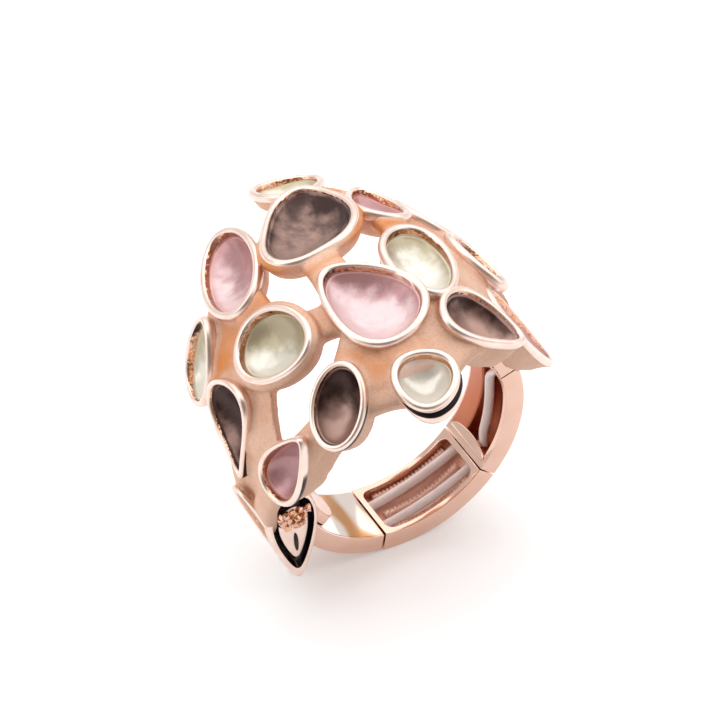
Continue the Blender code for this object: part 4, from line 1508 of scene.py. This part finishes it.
class RING_OT_bend_links(bpy.types.Operator):
    """Bends the three links of the band, two of them with a trough for the cords"""

    bl_idname = "ring.bend_links"
    bl_label = "Bend Links"

    def execute(self, context):
        sizes = context.scene.ring_sizes
        finishes = context.scene.ring_finishes
        gap = arc_degrees(JOINT_GAP, sizes.finger_radius) / 2
        outer = sizes.finger_radius + sizes.band_wall
        for i, side in enumerate(("left", "bottom", "right")):
            start, end = JOINT_ANGLES[i] + gap, JOINT_ANGLES[i + 1] - gap
            length = math.radians(end - start) * sizes.finger_radius
            bm = bmesh.new()
            straight_bar(bm, length, sizes.band_width, sizes.band_wall)
            if side != "left":
                for face in sunk_trough(bm, sizes.band_wall, TROUGH_FRAME, TROUGH_CORNER, TROUGH_FLOOR):
                    face.material_index = 1
            else:
                max(bm.faces, key=lambda f: f.calc_center_median().z).material_index = 1
            bevel_sharp(bm, LINK_EDGE)
            bend_bar(bm, length, outer, start, end)
            bores = bore_holder(sizes, start - CORD_TUCK, end + CORD_TUCK)
            cut_piece(f"band_link_{side}", bm, [bores], f"{side}_link",
                      [finish_of(polished_gold, finishes), self.lining(side, finishes)], [f"link_{side}"])
            if side == "bottom":
                self.add_ribs(side, start, end, sizes, finishes)
            if side == "right":
                self.add_step(side, length, start, end, sizes, finishes)
                self.add_stop(side, length, start, end, sizes, finishes)
        return {"FINISHED"}

    def lining(self, side, finishes):
        if side == "left":
            return finish_of(reflected_amber_gold, finishes)
        return finish_of(smooth_copper if side == "right" else raw_copper, finishes)

    def add_step(self, side, length, start, end, sizes, finishes):
        """A raised floor over the far cord."""
        height = sizes.band_wall + STEP_RISE - TROUGH_ROOT
        far = sizes.band_width / 2 - STEP_EDGE
        bm = bmesh.new()
        straight_bar(bm, length - STEP_ENDS, far - STEP_NEAR, height)
        bevel_sharp(bm, STEP_BEVEL)
        bmesh.ops.translate(bm, verts=bm.verts, vec=(0, (far + STEP_NEAR) / 2, TROUGH_ROOT))
        bend_bar(bm, length, sizes.finger_radius + sizes.band_wall, start, end)
        make_piece(f"trough_step_{side}", bm, f"{side}_link", [finish_of(smooth_copper, finishes)],
                   sharp=SHARP_ANGLE)

    def add_stop(self, side, length, start, end, sizes, finishes):
        """A half-round pad across the trough's lower end."""
        oval = Matrix.Diagonal((STOP_LENGTH, sizes.band_width / 2 - STOP_EDGE, 1.0, 1.0))
        height = sizes.band_wall + STOP_RISE - TROUGH_ROOT
        bm = bmesh.new()
        bmesh.ops.create_circle(bm, cap_ends=True, segments=STOP_POINTS, radius=1.0, matrix=oval)
        bmesh.ops.bisect_plane(bm, geom=everything(bm), plane_co=(-STOP_ROOT, 0, 0), plane_no=(-1, 0, 0),
                               clear_outer=True)
        made = bmesh.ops.extrude_face_region(bm, geom=bm.faces[:])["geom"]
        bmesh.ops.translate(bm, verts=new_verts(made), vec=(0, 0, height))
        bmesh.ops.translate(bm, verts=bm.verts, vec=(TROUGH_FRAME - length / 2, 0, TROUGH_ROOT))
        bmesh.ops.recalc_face_normals(bm, faces=bm.faces)
        bevel_sharp(bm, STOP_BEVEL)
        wrap_bar(bm, length, sizes.finger_radius + sizes.band_wall, start, end)
        make_piece(f"trough_stop_{side}", bm, f"{side}_link", [finish_of(polished_gold, finishes)],
                   sharp=SHARP_ANGLE)

    def add_ribs(self, side, start, end, sizes, finishes):
        """The knurled ribs on a trough's floor: one between the cords and one along each side."""
        outer = sizes.finger_radius + sizes.band_wall
        slack = arc_degrees(TROUGH_FRAME + TROUGH_CORNER, sizes.finger_radius)
        edge = sizes.band_width / 2 - TROUGH_FRAME - SIDE_RIB_WIDTH / 2
        places = ((0.0, RIB_WIDTH, RIB_HEIGHT), (-edge, SIDE_RIB_WIDTH, SIDE_RIB_HEIGHT),
                  (edge, SIDE_RIB_WIDTH, SIDE_RIB_HEIGHT))
        bm = bmesh.new()
        for y, width, height in places:
            add_knurl(bm, y, width, TROUGH_ROOT, height, outer, start + slack, end - slack)
        make_piece(f"trough_ribs_{side}", bm, f"{side}_link", [finish_of(raw_copper, finishes)])


class RING_OT_string_cords(bpy.types.Operator):
    """Strings the elastic cords, in lengths that follow the links and knotted ends in the lugs"""

    bl_idname = "ring.string_cords"
    bl_label = "String Cords"

    def execute(self, context):
        sizes = context.scene.ring_sizes
        elastic = finish_of(clear_elastic, context.scene.ring_finishes)
        full = sizes.cord_diameter
        thin = CORD_TAIL * full
        left, low, right, high = JOINT_ANGLES
        for side, y in cord_sides(sizes):
            runs = {
                "left": spread(left + 0.5 * CORD_TUCK, low, full),
                "bottom": spread(low - CORD_TUCK, low - CORD_GAP, thin) + spread(low, right, full)
                + spread(right + CORD_GAP, right + CORD_TUCK, thin),
                "right": spread(right, high - 0.5 * CORD_TUCK, full),
            }
            for link, rows in runs.items():
                bm = bmesh.new()
                add_tube(bm, y, rows)
                replaced = [f"elastic_cord_{side}"] if link == "bottom" else []
                make_piece(f"cord_{side}_{link}", bm, f"{link}_link", [elastic], replaced)
            self.add_end(f"cord_end_{side}_left", y, left, -1, "left_link", thin, elastic)
            self.add_end(f"cord_end_{side}_right", y, high, 1, "right_link", thin, elastic)
        return {"FINISHED"}

    def add_end(self, name, y, joint, outward, link, diameter, elastic):
        """A knotted end that runs from inside the link to its seat in the lug."""
        seat = joint + outward * arc_degrees(LUG_END_WALL + KNOT_CLEARANCE, CORD_RADIUS)
        inside = joint - outward * CORD_TUCK
        knot = outward * arc_degrees(KNOT_LENGTH, CORD_RADIUS)
        rows = spread(inside, seat, diameter)
        rows += [(seat + knot * s, KNOT_DIAMETER * k) for s, k in KNOT_SHAPE]
        bm = bmesh.new()
        add_tube(bm, y, rows)
        piece = leaned_piece(name, bm, [elastic])
        start = TO_TABLE @ on_band(CORD_RADIUS, y, seat)
        end = TO_TABLE @ on_band(CORD_RADIUS, y, inside + outward * 1.0)
        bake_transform(piece)


class RING_OT_set_stage(bpy.types.Operator):
    """Lays the floor and sets the lights and the camera at the photograph's angle"""

    bl_idname = "ring.set_stage"
    bl_label = "Set Stage"

    def execute(self, context):
        scene = context.scene
        floor_bm = bmesh.new()
        bmesh.ops.create_grid(floor_bm, x_segments=1, y_segments=1, size=FLOOR_HALF)
        bmesh.ops.translate(floor_bm, verts=floor_bm.verts, vec=(0, 0, CAD_BOX[0].z))
        floor = bpy.data.objects.new("floor", mesh_of("floor", floor_bm))
        floor.data.materials.append(floor_finish())
        scene.collection.objects.link(floor)
        self.add_lights(scene)
        self.add_camera(scene)
        return {"FINISHED"}

    def add_lights(self, scene):
        """White all round but for the studio's dark open front, and three softboxes."""
        paint = Paint(bpy.data.worlds.new("studio"), "Background")
        direction = paint.node("ShaderNodeTexCoord")
        facing = paint.node("ShaderNodeVectorMath", 1, {"operation": "DOT_PRODUCT"}, _0=direction,
                            _1=view_direction(*STUDIO_FRONT))
        colour = paint.mix(paint.ramp(facing, 0.55, 0.95), STUDIO_WHITE, STUDIO_DARK)
        scene.world = paint.finish(Color=colour, Strength=0.8)
        for name, azimuth, elevation, distance, width, height, power in LAMPS:
            data = bpy.data.lights.new(name, "AREA")
            data.shape = "RECTANGLE"
            data.size = width
            data.size_y = height
            data.energy = power
            lamp = bpy.data.objects.new(name, data)
            direction = view_direction(azimuth, elevation)
            lamp.location = direction * distance
            lamp.rotation_euler = direction.to_track_quat("Z", "Y").to_euler()
            scene.collection.objects.link(lamp)
        scene.view_settings.view_transform = "Standard"

    def add_camera(self, scene):
        data = bpy.data.cameras.new("camera")
        data.lens = CAMERA_LENS
        data.sensor_width = CAMERA_SENSOR
        data.clip_start = 0.01
        data.clip_end = 10.0
        camera = bpy.data.objects.new("camera", data)
        direction = view_direction(*CAMERA_SIDE)
        right = Vector((0, 0, 1)).cross(direction).normalized()
        up = direction.cross(right)
        target = right * CAMERA_TARGET[0] + up * CAMERA_TARGET[1]
        camera.location = direction * CAMERA_DISTANCE
        camera.rotation_euler = (camera.location - target).to_track_quat("Z", "Y").to_euler()
        scene.collection.objects.link(camera)
        scene.camera = camera


class RING_PT_panel(bpy.types.Panel):
    """Sidebar panel with one button for each step"""

    bl_label = "Stretch Ring"
    bl_idname = "RING_PT_panel"
    bl_space_type = "VIEW_3D"
    bl_region_type = "UI"
    bl_category = "Ring"

    def draw(self, context):
        for operator in OPERATORS:
            self.layout.operator(operator.bl_idname)


OPERATORS = (RING_OT_set_stage, RING_OT_cast_head, RING_OT_polish_rims, RING_OT_pour_enamel,
             RING_OT_close_ends, RING_OT_bend_links, RING_OT_string_cords)
CLASSES = (RingSizes, RingFinishes, *OPERATORS, RING_PT_panel)


def register():
    for item in CLASSES:
        bpy.utils.register_class(item)
    bpy.types.Scene.ring_sizes = bpy.props.PointerProperty(type=RingSizes)
    bpy.types.Scene.ring_finishes = bpy.props.PointerProperty(type=RingFinishes)


def unregister():
    del bpy.types.Scene.ring_finishes
    del bpy.types.Scene.ring_sizes
    for item in reversed(CLASSES):
        bpy.utils.unregister_class(item)


def main():
    register()
    bpy.ops.ring.set_stage()
    bpy.ops.ring.cast_head()
    bpy.ops.ring.polish_rims()
    bpy.ops.ring.pour_enamel()
    bpy.ops.ring.close_ends()
    bpy.ops.ring.bend_links()
    bpy.ops.ring.string_cords()


if __name__ == "__main__":
    main()
